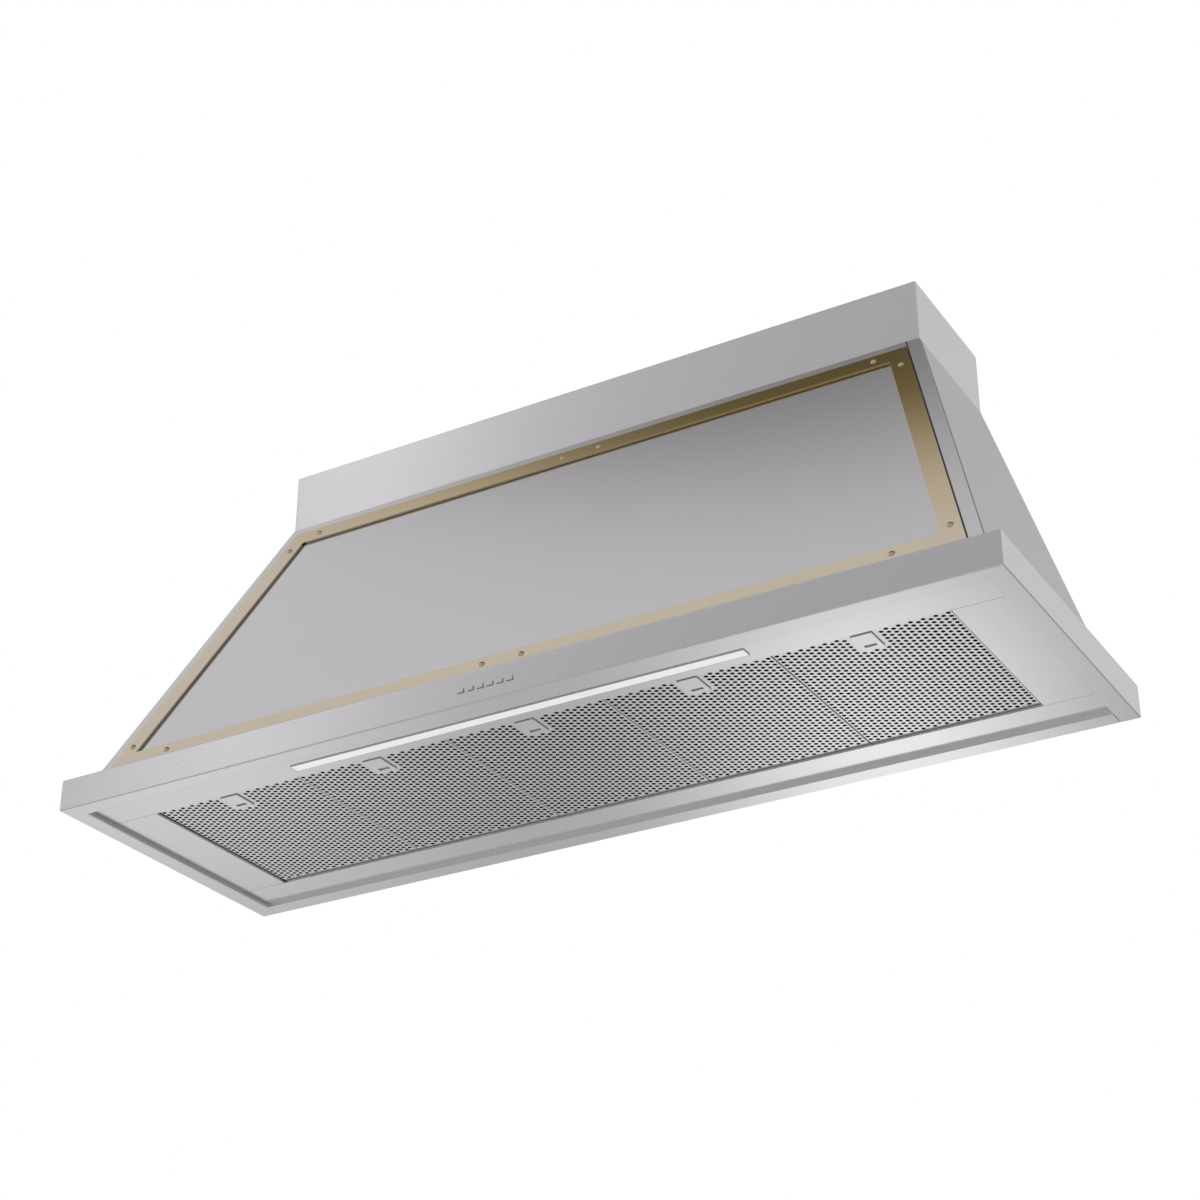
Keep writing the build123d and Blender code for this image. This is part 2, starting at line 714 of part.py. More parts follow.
with BuildPart() as led_driver:
    block(DRIVER_X, DRIVER_Y, (panel_top, panel_top + DRIVER_HEIGHT))
    fillet(led_driver.edges().filter_by(Axis.Z), radius=3)
    chamfer(led_driver.faces().sort_by(Axis.Z)[-1].edges(), length=1)
led_driver.part.label = "led_driver"
export_step(led_driver.part, "parts/led_driver.step")

# Switch housing behind the front face: one pocket and one stem bore for each button
face_back = -RIM_DEPTH + RIM_SHEET
pocket_half = SHOULDER_HALF + POCKET_CLEAR[0]
pocket_end = face_back + SHOULDER[1] + BUTTON_TRAVEL + POCKET_CLEAR[1]
bore_end = face_back + STEM_END + BUTTON_TRAVEL + 1
with BuildPart() as switch_housing:
    block((-SWITCH_HALF, SWITCH_HALF), (face_back, SWITCH_REAR), SWITCH_LEVELS)
    for x in button_places:
        block(
            (x - pocket_half, x + pocket_half),
            (face_back - 1, pocket_end),
            (BUTTON_Z - pocket_half, BUTTON_Z + pocket_half),
            mode=Mode.SUBTRACT,
        )
        with Locations((x, (face_back + bore_end) / 2, BUTTON_Z)):
            Cylinder(
                STEM_RADIUS + STEM_CLEAR,
                bore_end - face_back,
                rotation=(90, 0, 0),
                mode=Mode.SUBTRACT,
            )
switch_housing.part.label = "switch_housing"
export_step(switch_housing.part, "parts/switch_housing.step")

for number, x in enumerate(button_places, start=1):
    with BuildPart() as button:
        block(
            (x - button_half, x + button_half),
            (-RIM_DEPTH - BUTTON_PROUD, face_back + SHOULDER[1] / 2),
            (BUTTON_Z - button_rise, BUTTON_Z + button_rise),
        )
        fillet(button.edges().filter_by(Axis.Y), radius=0.8)
        fillet(button.faces().sort_by(Axis.Y)[0].edges(), radius=0.5)
        block(
            (x - SHOULDER_HALF, x + SHOULDER_HALF),
            (face_back + SHOULDER[0], face_back + SHOULDER[1]),
            (BUTTON_Z - SHOULDER_HALF, BUTTON_Z + SHOULDER_HALF),
        )
        with Locations((x, face_back + (1 + STEM_END) / 2, BUTTON_Z)):
            Cylinder(STEM_RADIUS, STEM_END - 1, rotation=(90, 0, 0))
    button.part.label = f"button_{number}"
    export_step(button.part, f"parts/button_{number}.step")

# Filters: a perforated tray, pleated mesh held under its folded rim, and a sliding latch
tray_top = FILTER_Z + FILTER_HEIGHT
tray_floor = FILTER_Z + FILTER_SHEET
tray_half = FILTER_WIDTH / 2


def hole_places():
    """Staggered rows of holes, left out where the latch lies."""
    for column in range(HOLE_COLUMNS):
        x = (column - (HOLE_COLUMNS - 1) / 2) * HOLE_COLUMN_PITCH
        stagger = HOLE_ROW_PITCH / 2 if column % 2 else 0
        for row in range(HOLE_ROWS):
            y = HOLE_FIRST_ROW + row * HOLE_ROW_PITCH + stagger
            if abs(x) > LATCH_CLEAR_X or y > LATCH_CLEAR_Y:
                yield (x, y)


with BuildPart() as tray_hollow:
    block(
        (-tray_half + FILTER_SHEET, tray_half - FILTER_SHEET),
        (FILTER_FRONT + FILTER_SHEET, FILTER_REAR - FILTER_SHEET),
        (tray_floor, tray_top - FILTER_SHEET),
    )
    fillet(tray_hollow.faces().sort_by(Axis.Z)[0].edges(), radius=TRAY_ROUND - FILTER_SHEET)

with BuildPart() as tray:
    block((-tray_half, tray_half), (FILTER_FRONT, FILTER_REAR), (FILTER_Z, tray_top))
    fillet(tray.faces().sort_by(Axis.Z)[0].edges(), radius=TRAY_ROUND)
    add(tray_hollow.part, mode=Mode.SUBTRACT)
    block(
        (-tray_half + TRAY_RETURN, tray_half - TRAY_RETURN),
        (FILTER_FRONT + TRAY_RETURN, FILTER_REAR - TRAY_RETURN),
        (tray_floor + TRAY_ROUND, tray_top + 1),
        mode=Mode.SUBTRACT,
    )
    block(
        (-NECK_HALF - NECK_CLEAR, NECK_HALF + NECK_CLEAR),
        (NECK_SPAN[0] - NECK_CLEAR, NECK_SPAN[1] + LATCH_TRAVEL + NECK_CLEAR),
        (FILTER_Z - 1, tray_floor + 1),
        mode=Mode.SUBTRACT,
    )
    block(
        (-TONGUE_HALF - TONGUE_CLEAR[0], TONGUE_HALF + TONGUE_CLEAR[0]),
        (FILTER_FRONT - 1, FILTER_FRONT + FILTER_SHEET + 1),
        (tray_floor, GUIDE_LEVELS[1] + TONGUE_CLEAR[1]),
        mode=Mode.SUBTRACT,
    )
    for x in (-TAB_X, TAB_X):
        block(
            (x - TAB_WIDTH / 2, x + TAB_WIDTH / 2),
            (FILTER_REAR, FILTER_REAR + TAB_REACH),
            (TAB_Z, TAB_Z + TAB_SHEET),
        )
    with BuildSketch(Plane.XY.offset(FILTER_Z)):
        with Locations(*hole_places()):
            Circle(HOLE_DIAMETER / 2)
    extrude(amount=FILTER_SHEET, mode=Mode.SUBTRACT)

mesh_inset = FILTER_SHEET + MESH_GAP
mesh_front = FILTER_FRONT + mesh_inset
mesh_step = (FILTER_REAR - mesh_inset - mesh_front) / (2 * PLEATS)
pleat_head = tray_top - FILTER_SHEET - PLEAT_SHEET
with BuildPart() as pleated:
    with BuildSketch(Plane.YZ.offset(-tray_half + mesh_inset)):
        with BuildLine():
            fold = [
                (mesh_front + index * mesh_step, PLEAT_FOOT if index % 2 == 0 else pleat_head)
                for index in range(2 * PLEATS + 1)
            ]
            upper = [(y, z + PLEAT_SHEET) for y, z in reversed(fold)]
            Polyline(*fold, *upper, close=True)
        make_face()
    extrude(amount=FILTER_WIDTH - 2 * mesh_inset)

# Latch: a finger plate under the tray, and a neck, a guide, a tongue and a spring tab inside it
with BuildPart() as latch:
    block((-LATCH_HALF, LATCH_HALF), LATCH_SPAN, LATCH_LEVELS)
    fillet(latch.edges().filter_by(Axis.Z), radius=1)
    chamfer(latch.faces().sort_by(Axis.Z)[0].edges(), length=0.3)
    with BuildSketch(Plane.XY.offset(LATCH_LEVELS[0] - 1)):
        with Locations((0, FINGER_PLACE)):
            RectangleRounded(*FINGER_SIZE, radius=1)
    extrude(amount=LATCH_LEVELS[1] - LATCH_LEVELS[0] + 2, mode=Mode.SUBTRACT)
    block((-NECK_HALF, NECK_HALF), NECK_SPAN, (LATCH_LEVELS[1], GUIDE_LEVELS[0]))
    block((-GUIDE_HALF, GUIDE_HALF), GUIDE_SPAN, GUIDE_LEVELS)
    block((-TONGUE_HALF, TONGUE_HALF), (FILTER_FRONT + 0.3, GUIDE_SPAN[0]), GUIDE_LEVELS)
    block((-SPRING_HALF, SPRING_HALF), SPRING_SPAN, SPRING_LEVELS)

for number, x in enumerate(filter_places, start=1):
    with BuildPart() as filter_frame:
        with Locations((x, 0, 0)):
            add(tray.part)
    filter_frame.part.label = f"filter_frame_{number}"
    export_step(filter_frame.part, f"parts/filter_frame_{number}.step")
    with BuildPart() as filter_mesh:
        with Locations((x, 0, 0)):
            add(pleated.part)
    filter_mesh.part.label = f"filter_mesh_{number}"
    export_step(filter_mesh.part, f"parts/filter_mesh_{number}.step")
    with BuildPart() as filter_latch:
        with Locations((x, 0, 0)):
            add(latch.part)
    filter_latch.part.label = f"filter_latch_{number}"
    export_step(filter_latch.part, f"parts/filter_latch_{number}.step")


# Blower housing: a scroll of three quarter arcs whose centres step round a small square
def scroll_section(plane, grow, top):
    """The scroll's face with its upright outlet, grown outwards by grow and cut level at top."""
    y, z = SCROLL_CENTRE
    small = SCROLL_RADIUS + grow
    large = SCROLL_RADIUS + 2 * SCROLL_STEP + grow
    rear = y + SCROLL_STEP + large
    with BuildSketch(plane) as section:
        with BuildLine():
            CenterArc((y, z), small, 90, 90)
            CenterArc((y + SCROLL_STEP, z), (small + large) / 2, 180, 90)
            CenterArc((y + SCROLL_STEP, z + SCROLL_STEP), large, 270, 90)
            Polyline((rear, z + SCROLL_STEP), (rear, z + small), (y, z + small))
        make_face()
        with Locations(((y - grow + rear) / 2, (z + SCROLL_STEP + top) / 2)):
            Rectangle(rear - y + grow, top - z - SCROLL_STEP)
    return section.sketch


scroll_y = SCROLL_CENTRE[0]
outlet_rear = scroll_y + SCROLL_RADIUS + 3 * SCROLL_STEP
outlet_middle = (scroll_y + outlet_rear) / 2
outlet_depth = outlet_rear - scroll_y
outlet_flange = (2 * (SCROLL_HALF + OUTLET_FLANGE[0]), outlet_depth + 2 * OUTLET_FLANGE[1])
duct_screw_x = SCROLL_HALF + BRACKET_SCREW
duct_screws = [(x, y) for x in (-duct_screw_x, duct_screw_x) for y in (scroll_y - 3, outlet_rear - 12)]
wheel_plane = Plane(origin=(0, wheel_y, wheel_z), x_dir=(0, 1, 0), z_dir=(1, 0, 0))
bracket_angles = (90, 210, 330)
bracket_screw_radius = INLET_RADIUS + BRACKET_SCREW

with BuildPart() as scroll_hollow:
    hollow_face = scroll_section(Plane.YZ.offset(-SCROLL_HALF), 0, SCROLL_TOP + 1)
    extrude(hollow_face, amount=2 * SCROLL_HALF, dir=(1, 0, 0))

with BuildPart() as blower_housing:
    outer_plane = Plane.YZ.offset(-SCROLL_HALF - SCROLL_SHEET)
    outer_face = scroll_section(outer_plane, SCROLL_SHEET, SCROLL_TOP)
    extrude(outer_face, amount=2 * (SCROLL_HALF + SCROLL_SHEET), dir=(1, 0, 0))
    with BuildSketch(Plane.XY.offset(SCROLL_TOP - SCROLL_SHEET)):
        with Locations((0, outlet_middle)):
            Rectangle(*outlet_flange)
        with Locations(*duct_screws):
            Circle(SHANK_HOLE, mode=Mode.SUBTRACT)
    extrude(amount=SCROLL_SHEET)
    add(scroll_hollow.part, mode=Mode.SUBTRACT)
    with BuildSketch(wheel_plane.offset(-2 * SCROLL_HALF)):
        Circle(INLET_RADIUS)
    extrude(amount=4 * SCROLL_HALF, mode=Mode.SUBTRACT)
    with BuildSketch(wheel_plane.offset(SCROLL_HALF - 1)):
        for angle in bracket_angles:
            with PolarLocations(bracket_screw_radius, 1, start_angle=angle):
                Circle(SHANK_HOLE)
    extrude(amount=5, mode=Mode.SUBTRACT)
blower_housing.part.label = "blower_housing"
export_step(blower_housing.part, "parts/blower_housing.step")

# Outlet duct: from the scroll's oblong mouth to the round hole in the deck
with BuildPart() as duct_hollow:
    with BuildSketch(Plane.XY.offset(SCROLL_TOP)):
        with Locations((0, outlet_middle)):
            Rectangle(2 * SCROLL_HALF, outlet_depth)
    with BuildSketch(Plane.XY.offset(CANOPY_TOP)):
        with Locations(DUCT_CENTRE):
            Circle(DECK_HOLE - SCROLL_SHEET)
    loft()

with BuildPart() as outlet_duct:
    with BuildSketch(Plane.XY.offset(SCROLL_TOP)):
        with Locations((0, outlet_middle)):
            Rectangle(2 * (SCROLL_HALF + SCROLL_SHEET), outlet_depth + 2 * SCROLL_SHEET)
    with BuildSketch(Plane.XY.offset(CANOPY_TOP)):
        with Locations(DUCT_CENTRE):
            Circle(DECK_HOLE)
    loft()
    with BuildSketch(Plane.XY.offset(SCROLL_TOP)):
        with Locations((0, outlet_middle)):
            Rectangle(*outlet_flange)
        with Locations(*duct_screws):
            Circle(SHANK_HOLE, mode=Mode.SUBTRACT)
    extrude(amount=SCROLL_SHEET)
    with BuildSketch(Plane.XY.offset(CANOPY_TOP - SCROLL_SHEET)):
        with Locations(DUCT_CENTRE):
            Circle(DECK_HOLE + DUCT_FLANGE)
    extrude(amount=SCROLL_SHEET)
    add(duct_hollow.part, mode=Mode.SUBTRACT)
outlet_duct.part.label = "outlet_duct"
export_step(outlet_duct.part, "parts/outlet_duct.step")

# Motor, shaft, wheel and bracket, all on the wheel's level axis
motor_end = SCROLL_HALF + SCROLL_SHEET
with BuildPart() as blower_motor:
    with BuildSketch(wheel_plane.offset(MOTOR_START)):
        Circle(MOTOR_RADIUS)
    extrude(amount=motor_end - MOTOR_START)
    fillet(blower_motor.edges().filter_by(GeomType.CIRCLE), radius=MOTOR_ROUND)
    with BuildSketch(wheel_plane.offset(MOTOR_START)):
        Circle(SHAFT_RADIUS + SHAFT_FIT)
    extrude(amount=SHAFT_SOCKET, mode=Mode.SUBTRACT)
blower_motor.part.label = "blower_motor"
export_step(blower_motor.part, "parts/blower_motor.step")

with BuildPart() as motor_shaft:
    with BuildSketch(wheel_plane.offset(SHAFT_SPAN[0])):
        Circle(SHAFT_RADIUS)
    extrude(amount=SHAFT_SPAN[1] - SHAFT_SPAN[0])
    chamfer(motor_shaft.edges().filter_by(GeomType.CIRCLE), length=0.5)
motor_shaft.part.label = "motor_shaft"
export_step(motor_shaft.part, "parts/motor_shaft.step")

blade_middle = (WHEEL_RADIUS + WHEEL_INNER) / 2
ring_width, ring_sheet = WHEEL_RING
with BuildPart() as impeller:
    with BuildSketch(wheel_plane.offset(-WHEEL_HALF)):
        with PolarLocations(blade_middle, BLADES):
            Rectangle(*BLADE_SIZE, rotation=BLADE_ANGLE)
    extrude(amount=2 * WHEEL_HALF)
    with BuildSketch(wheel_plane.offset(-WHEEL_DISC / 2)):
        Circle(blade_middle)
    extrude(amount=WHEEL_DISC)
    with BuildSketch(wheel_plane.offset(-WHEEL_HALF), wheel_plane.offset(WHEEL_HALF - ring_sheet)):
        Circle(WHEEL_RADIUS)
        Circle(WHEEL_RADIUS - ring_width, mode=Mode.SUBTRACT)
    extrude(amount=ring_sheet)
    with BuildSketch(wheel_plane.offset(-HUB_LENGTH)):
        Circle(HUB_RADIUS)
    extrude(amount=HUB_LENGTH)
    with BuildSketch(wheel_plane.offset(-HUB_LENGTH - 1)):
        Circle(SHAFT_RADIUS)
    extrude(amount=HUB_LENGTH + WHEEL_DISC + 1, mode=Mode.SUBTRACT)
impeller.part.label = "impeller"
export_step(impeller.part, "parts/impeller.step")

arm_length = bracket_screw_radius + ARM_END
with BuildPart() as motor_bracket:
    with BuildSketch(wheel_plane.offset(motor_end)):
        Circle(BRACKET_HUB)
        for angle in bracket_angles:
            with PolarLocations(arm_length / 2, 1, start_angle=angle):
                Rectangle(arm_length, ARM_WIDTH)
        for angle in bracket_angles:
            with PolarLocations(bracket_screw_radius, 1, start_angle=angle):
                Circle(SHANK_HOLE, mode=Mode.SUBTRACT)
    extrude(amount=BRACKET_SHEET)
motor_bracket.part.label = "motor_bracket"
export_step(motor_bracket.part, "parts/motor_bracket.step")

# Duct collar with a ring that the closed flaps rest on, and the rod's two bores
collar_foot = CANOPY_TOP + DECK_SHEET
collar_inner = COLLAR_RADIUS - COLLAR_SHEET
with BuildPart() as duct_collar:
    with BuildSketch(Plane.XY.offset(collar_foot)):
        with Locations(DUCT_CENTRE):
            Rectangle(*COLLAR_FLANGE)
        with Locations(*collar_screws):
            Circle(SHANK_HOLE, mode=Mode.SUBTRACT)
    extrude(amount=COLLAR_SHEET)
    with BuildSketch(Plane.XY.offset(collar_foot)):
        with Locations(DUCT_CENTRE):
            Circle(COLLAR_RADIUS)
    extrude(amount=COLLAR_TOP - collar_foot)
    with BuildSketch(Plane.XY.offset(collar_foot)):
        with Locations(DUCT_CENTRE):
            Circle(collar_inner)
    extrude(amount=COLLAR_TOP - collar_foot, mode=Mode.SUBTRACT)
    with BuildSketch(Plane.XY.offset(FLAP_Z - SEAT_DROP - SEAT_SHEET)):
        with Locations(DUCT_CENTRE):
            Circle(collar_inner + COLLAR_SHEET / 2)
            Circle(collar_inner - SEAT_WIDTH, mode=Mode.SUBTRACT)
    extrude(amount=SEAT_SHEET)
    with Locations((duct_x, duct_y, ROD_Z)):
        Cylinder(ROD_HOLE, 3 * COLLAR_RADIUS, rotation=(0, 90, 0), mode=Mode.SUBTRACT)
duct_collar.part.label = "duct_collar"
export_step(duct_collar.part, "parts/duct_collar.step")

with BuildPart() as damper_rod:
    with Locations((duct_x, duct_y, ROD_Z)):
        Cylinder(ROD_RADIUS, 2 * (COLLAR_RADIUS - ROD_INSET), rotation=(0, 90, 0))
damper_rod.part.label = "damper_rod"
export_step(damper_rod.part, "parts/damper_rod.step")

for side, spans, name in (
    (-1, FRONT_KNUCKLES, "damper_front"),
    (1, REAR_KNUCKLES, "damper_rear"),
):
    with BuildPart() as flap:
        with BuildSketch(Plane.XY.offset(FLAP_Z)):
            with Locations(DUCT_CENTRE):
                Circle(FLAP_RADIUS)
            with Locations((duct_x, duct_y - side * (FLAP_RADIUS - FLAP_GAP))):
                Rectangle(3 * FLAP_RADIUS, 2 * FLAP_RADIUS, mode=Mode.SUBTRACT)
        extrude(amount=FLAP_SHEET)
        for low, high in spans:
            web = sorted((duct_y + side * FLAP_GAP, duct_y + side * KNUCKLE_RADIUS))
            block((low, high), web, (FLAP_Z, ROD_Z))
            with Locations(((low + high) / 2, duct_y, ROD_Z)):
                Cylinder(KNUCKLE_RADIUS, high - low, rotation=(0, 90, 0))
        with Locations((duct_x, duct_y, ROD_Z)):
            Cylinder(KNUCKLE_BORE, 2 * COLLAR_RADIUS, rotation=(0, 90, 0), mode=Mode.SUBTRACT)
    flap.part.label = name
    export_step(flap.part, f"parts/{name}.step")

# Junction box on the deck and its cable gland
box_length, box_width, box_height = JUNCTION_SIZE
box_top = collar_foot + box_height
box_place = (JUNCTION_X, duct_y)
cap_radius, cap_height = GLAND_CAP


def junction_block(inset, levels, mode=Mode.ADD):
    """Add or cut a box with the junction box's outline, its four sides set in by inset."""
    block(
        (JUNCTION_X - box_length / 2 + inset, JUNCTION_X + box_length / 2 - inset),
        (duct_y - box_width / 2 + inset, duct_y + box_width / 2 - inset),
        levels,
        mode=mode,
    )


with BuildPart() as junction_box:
    junction_block(0, (collar_foot, box_top))
    fillet(junction_box.edges().filter_by(Axis.Z), radius=JUNCTION_ROUND)
    junction_block(SIDE_SHEET, (collar_foot - 1, box_top - SIDE_SHEET), mode=Mode.SUBTRACT)
    with Locations((JUNCTION_X, duct_y, box_top)):
        Cylinder(GLAND_HOLE, 4 * SIDE_SHEET, mode=Mode.SUBTRACT)
junction_box.part.label = "junction_box"
export_step(junction_box.part, "parts/junction_box.step")

with BuildPart() as cable_gland:
    with BuildSketch(Plane.XY.offset(box_top - GLAND_THREAD_DEPTH)):
        with Locations(box_place):
            Circle(GLAND_THREAD)
    extrude(amount=GLAND_THREAD_DEPTH + 2)
    with BuildSketch(Plane.XY.offset(box_top - SIDE_SHEET - GLAND_NUT), Plane.XY.offset(box_top)):
        with Locations(box_place):
            RegularPolygon(GLAND_HEX, 6)
    extrude(amount=GLAND_NUT)
    with BuildSketch(Plane.XY.offset(box_top + GLAND_NUT)):
        with Locations(box_place):
            Circle(cap_radius)
    extrude(amount=cap_height)
    fillet(cable_gland.edges().filter_by(GeomType.CIRCLE).sort_by(Axis.Z)[-1], radius=4)
    with Locations((JUNCTION_X, duct_y, box_top)):
        Cylinder(GLAND_BORE, box_height + 15, mode=Mode.SUBTRACT)
cable_gland.part.label = "cable_gland"
export_step(cable_gland.part, "parts/cable_gland.step")

# Pan-head screws of the collar, the duct and the motor bracket
with BuildPart() as pan_screw:
    Cylinder(PAN_RADIUS, PAN_HEIGHT, align=(Align.CENTER, Align.CENTER, Align.MIN))
    fillet(pan_screw.faces().sort_by(Axis.Z)[-1].edges(), radius=PAN_ROUND)
    Cylinder(SHANK_RADIUS, PAN_SHANK, align=(Align.CENTER, Align.CENTER, Align.MAX))
    for x, y in (PAN_CROSS, reversed(PAN_CROSS)):
        block((-x, x), (-y, y), (PAN_HEIGHT - PAN_CROSS_DEPTH, PAN_HEIGHT + 1), mode=Mode.SUBTRACT)

bracket_seat = wheel_plane.offset(motor_end + BRACKET_SHEET)
bracket_seats = [
    Plane(
        origin=bracket_seat.from_local_coords(
            Vector(
                bracket_screw_radius * cos(radians(angle)),
                bracket_screw_radius * sin(radians(angle)),
            )
        ),
        z_dir=(1, 0, 0),
    )
    for angle in bracket_angles
]
with BuildPart() as case_screws:
    with Locations(*[(x, y, collar_foot + COLLAR_SHEET) for x, y in collar_screws]):
        add(pan_screw.part)
    with Locations(*[(x, y, SCROLL_TOP + SCROLL_SHEET) for x, y in duct_screws]):
        add(pan_screw.part)
    with Locations(*bracket_seats):
        add(pan_screw.part)
case_screws.part.label = "case_screws"
export_step(case_screws.part, "parts/case_screws.step")
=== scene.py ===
import math

import bpy
import numpy as np
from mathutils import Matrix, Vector


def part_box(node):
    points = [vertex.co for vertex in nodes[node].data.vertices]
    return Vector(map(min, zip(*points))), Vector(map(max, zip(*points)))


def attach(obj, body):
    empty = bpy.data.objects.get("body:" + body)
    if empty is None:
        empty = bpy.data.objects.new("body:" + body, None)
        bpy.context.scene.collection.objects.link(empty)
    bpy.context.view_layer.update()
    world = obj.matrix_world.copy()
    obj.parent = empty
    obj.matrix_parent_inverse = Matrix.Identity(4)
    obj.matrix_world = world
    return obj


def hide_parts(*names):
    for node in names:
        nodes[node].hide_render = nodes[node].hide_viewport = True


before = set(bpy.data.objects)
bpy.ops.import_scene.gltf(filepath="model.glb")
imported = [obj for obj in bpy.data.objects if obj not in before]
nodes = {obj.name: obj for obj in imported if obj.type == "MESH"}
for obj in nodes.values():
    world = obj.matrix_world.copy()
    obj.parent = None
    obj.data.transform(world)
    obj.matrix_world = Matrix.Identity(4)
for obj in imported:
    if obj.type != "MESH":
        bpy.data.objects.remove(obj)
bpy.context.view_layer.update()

scene = bpy.context.scene

# A millimetre in metres
MM = 0.001

# Directions across, into and up the hood
ACROSS = (1, 0, 0)
DEPTH = (0, 1, 0)
UPRIGHT = (0, 0, 1)

# Filters: how many, and the staggered perforation of one, in millimetres. The holes of the plain
# columns and rows are left out round the latch.
FILTER_COUNT = 5
HOLE_RADIUS = 3.25
COLUMNS = 29
COLUMN_PITCH = 8.7
ROWS = 31
ROW_PITCH = 9.85
FIRST_ROW = 10.5
PLAIN_COLUMNS = (12, 16)
PLAIN_ROWS = 5

# Each hole takes a cell of the face's lattice, this many squares wide and deep
CELL_STEPS = 4
HOLE_SIDES = 4 * CELL_STEPS

# A filter's sheet, its outer bend and that bend's steps, and the return along its upper edge; then
# the slot for the latch's neck, as half its width, its distance from the front and half its depth,
# and the hinge tabs that stand out at the rear, in millimetres
SHEET = 1.0
BEND = 1.55
BEND_STEPS = 5
RETURN = 8.0
NECK_SLOT = (7.0, 25.5, 10.0)
HINGE_TAB = 9.0

# The attribute that marks the walls of a filter's holes and of its latch's slot for painted shade
HOLE_SHADE_MARK = "hole"

# Brushed grain: the length and width of a scratch and of a streak, in metres, how far the tone
# varies, and how far the scratches and the clouds change the roughness
SCRATCH_LENGTH = 0.04
GRAIN = 0.0005
STREAK_LENGTH = 0.5
STREAK_WIDTH = 0.006
CONTRAST = 0.012
SCRATCH_GLOSS = 0.02
CLOUD_GLOSS = 0.015

# Wire of the filters' mesh: half the distance between two wires, in metres
WIRE_PITCH = 0.0006

# Camera, as solved from the photograph's straight edges: its place and aim in metres, the
# photograph's width and the focal length in pixels, the sensor's width in millimetres, and how
# far the camera sees in metres
CAMERA_PLACE = (1.6399, -3.0099, -1.4664)
CAMERA_AIM = (0.1370, -0.4248, 0.1517)
PHOTO_WIDTH = 1200
FOCAL_PIXELS = 2460.3
SENSOR_WIDTH = 36.0
CAMERA_REACH = 200

# Floor: its level and half its width in metres, and the strongest glow that its paint can show
FLOOR_LEVEL = -1.65
FLOOR_HALF = 40
FLOOR_GLOW = 2.5

# Floor: what the camera sees of its glow, and what the metal mirrors: two pools of light, each as
# strength, centre, spread and slant, and a glow that rises towards the front over a stretch
FLOOR_WHITE = 0.65
LEFT_POOL = (1.00, (-2.71, 1.85), (0.59, 0.87), -0.10)
RIGHT_POOL = (2.18, (-0.91, 3.05), (0.38, 0.53), -0.04)
FRONT_GLOW = 0.16
FRONT_STRETCH = 1.5

# Room that the metal mirrors: its even strength, then its soft round patches, each as strength,
# azimuth and elevation, and the angles of its core and rim in degrees. The dark patch takes away
# its share of all the rest.
ROOM_EVEN = 0.48
LEFT_PATCH = (0.30, (-83, 56), 5, 60)
REAR_PATCH = (0.39, (142, 16), 5, 46)
DARK_PATCH = (0.79, (-145, 63), 25.5, 28.5)

# Even light on plain colours
PLAIN_LIGHT = 0.8

# Soft boxes: where they aim, in metres
LAMP_AIM = (0, -0.3, 0.3)

# Canopy: the slope's upper and lower edges and the places of its screw rows, in metres
SLOPE_HEAD = Vector((0, -0.230, 0.560))
SLOPE_FOOT = Vector((0, -0.470, 0.050))
SLOPE_DOWN = (SLOPE_FOOT - SLOPE_HEAD).normalized()
SLOPE_OUT = SLOPE_DOWN.cross(Vector((1, 0, 0)))
SCREW_ROWS = (0.036, 0.067, 0.5034, 0.533)

# Right brass strip: its upper outer corner, and the way its outer side faces, in the slope's plane
HEAD_HALF = 0.5575
SIDE_SPREAD = 0.2883
STRIP_MARGIN = 0.021
STRIP_OUTER = (Vector((1, 0, 0)) - SLOPE_DOWN * SIDE_SPREAD).normalized()
STRIP_CORNER = SLOPE_HEAD + Vector((HEAD_HALF, 0, 0)) - STRIP_OUTER * STRIP_MARGIN

# Painted shade in seams, in metres: each pair tells where the painted shade ends and where the
# plain finish is reached, counted outwards from the cover's face, behind it for the fold, and from
# a slot's middle line
STRIP_REBATE = (0.0008, 0.0012)
STRIP_WALL = (0.0030, 0.0035)
COVER_CUT = (-0.0008, -0.0002)
FOLD = (0.0072, 0.0080)
SLOT = (0.0006, 0.0008)

# The painted shadow beside the right strip's outer side: its width and that of its soft edges, in
# metres
SEAM_SHADOW_WIDTH = 0.0018
SEAM_SHADOW_EDGE = 0.0002

# Rim: half its inner width and its inner depth, the height of its inner walls, the width of their
# soft edge, and the levels between which the painted light on the walls sets in above the bottom,
# in metres
RIM_INSIDE = (0.735, 0.485)
RIM_LIP_TOP = 0.030
RIM_EDGE = 0.001
RIM_BEND = (0.0001, 0.0004)

# Painted dark reflection on the brass: plain brass has the share START - ACROSS_RATE * x + down /
# RUN, kept between 0 and 1, and the painted dark reflection the rest, where down is the distance
# down the slope, all in metres
REFLECTION_START = 0.13
REFLECTION_ACROSS_RATE = 0.9
REFLECTION_RUN = 0.37


class Socket:
    """A number inside a node tree. Python's operators on it add Math nodes."""

    def __init__(self, tree, link):
        self.tree = tree
        self.link = link

    def maths(self, operation, *values):
        node = self.tree.nodes.new("ShaderNodeMath")
        node.operation = operation
        for place, value in zip(node.inputs, values):
            feed(self.tree, place, value)
        return Socket(self.tree, node.outputs[0])

    def __add__(self, other):
        return self.maths("ADD", self, other)

    def __radd__(self, other):
        return self.maths("ADD", other, self)

    def __sub__(self, other):
        return self.maths("SUBTRACT", self, other)

    def __rsub__(self, other):
        return self.maths("SUBTRACT", other, self)

    def __mul__(self, other):
        return self.maths("MULTIPLY", self, other)

    def __rmul__(self, other):
        return self.maths("MULTIPLY", other, self)

    def __truediv__(self, other):
        return self.maths("DIVIDE", self, other)

    def __pow__(self, other):
        return self.maths("POWER", self, other)

    def above(self, low):
        return self.maths("MAXIMUM", self, low)

    def below(self, high):
        return self.maths("MINIMUM", self, high)


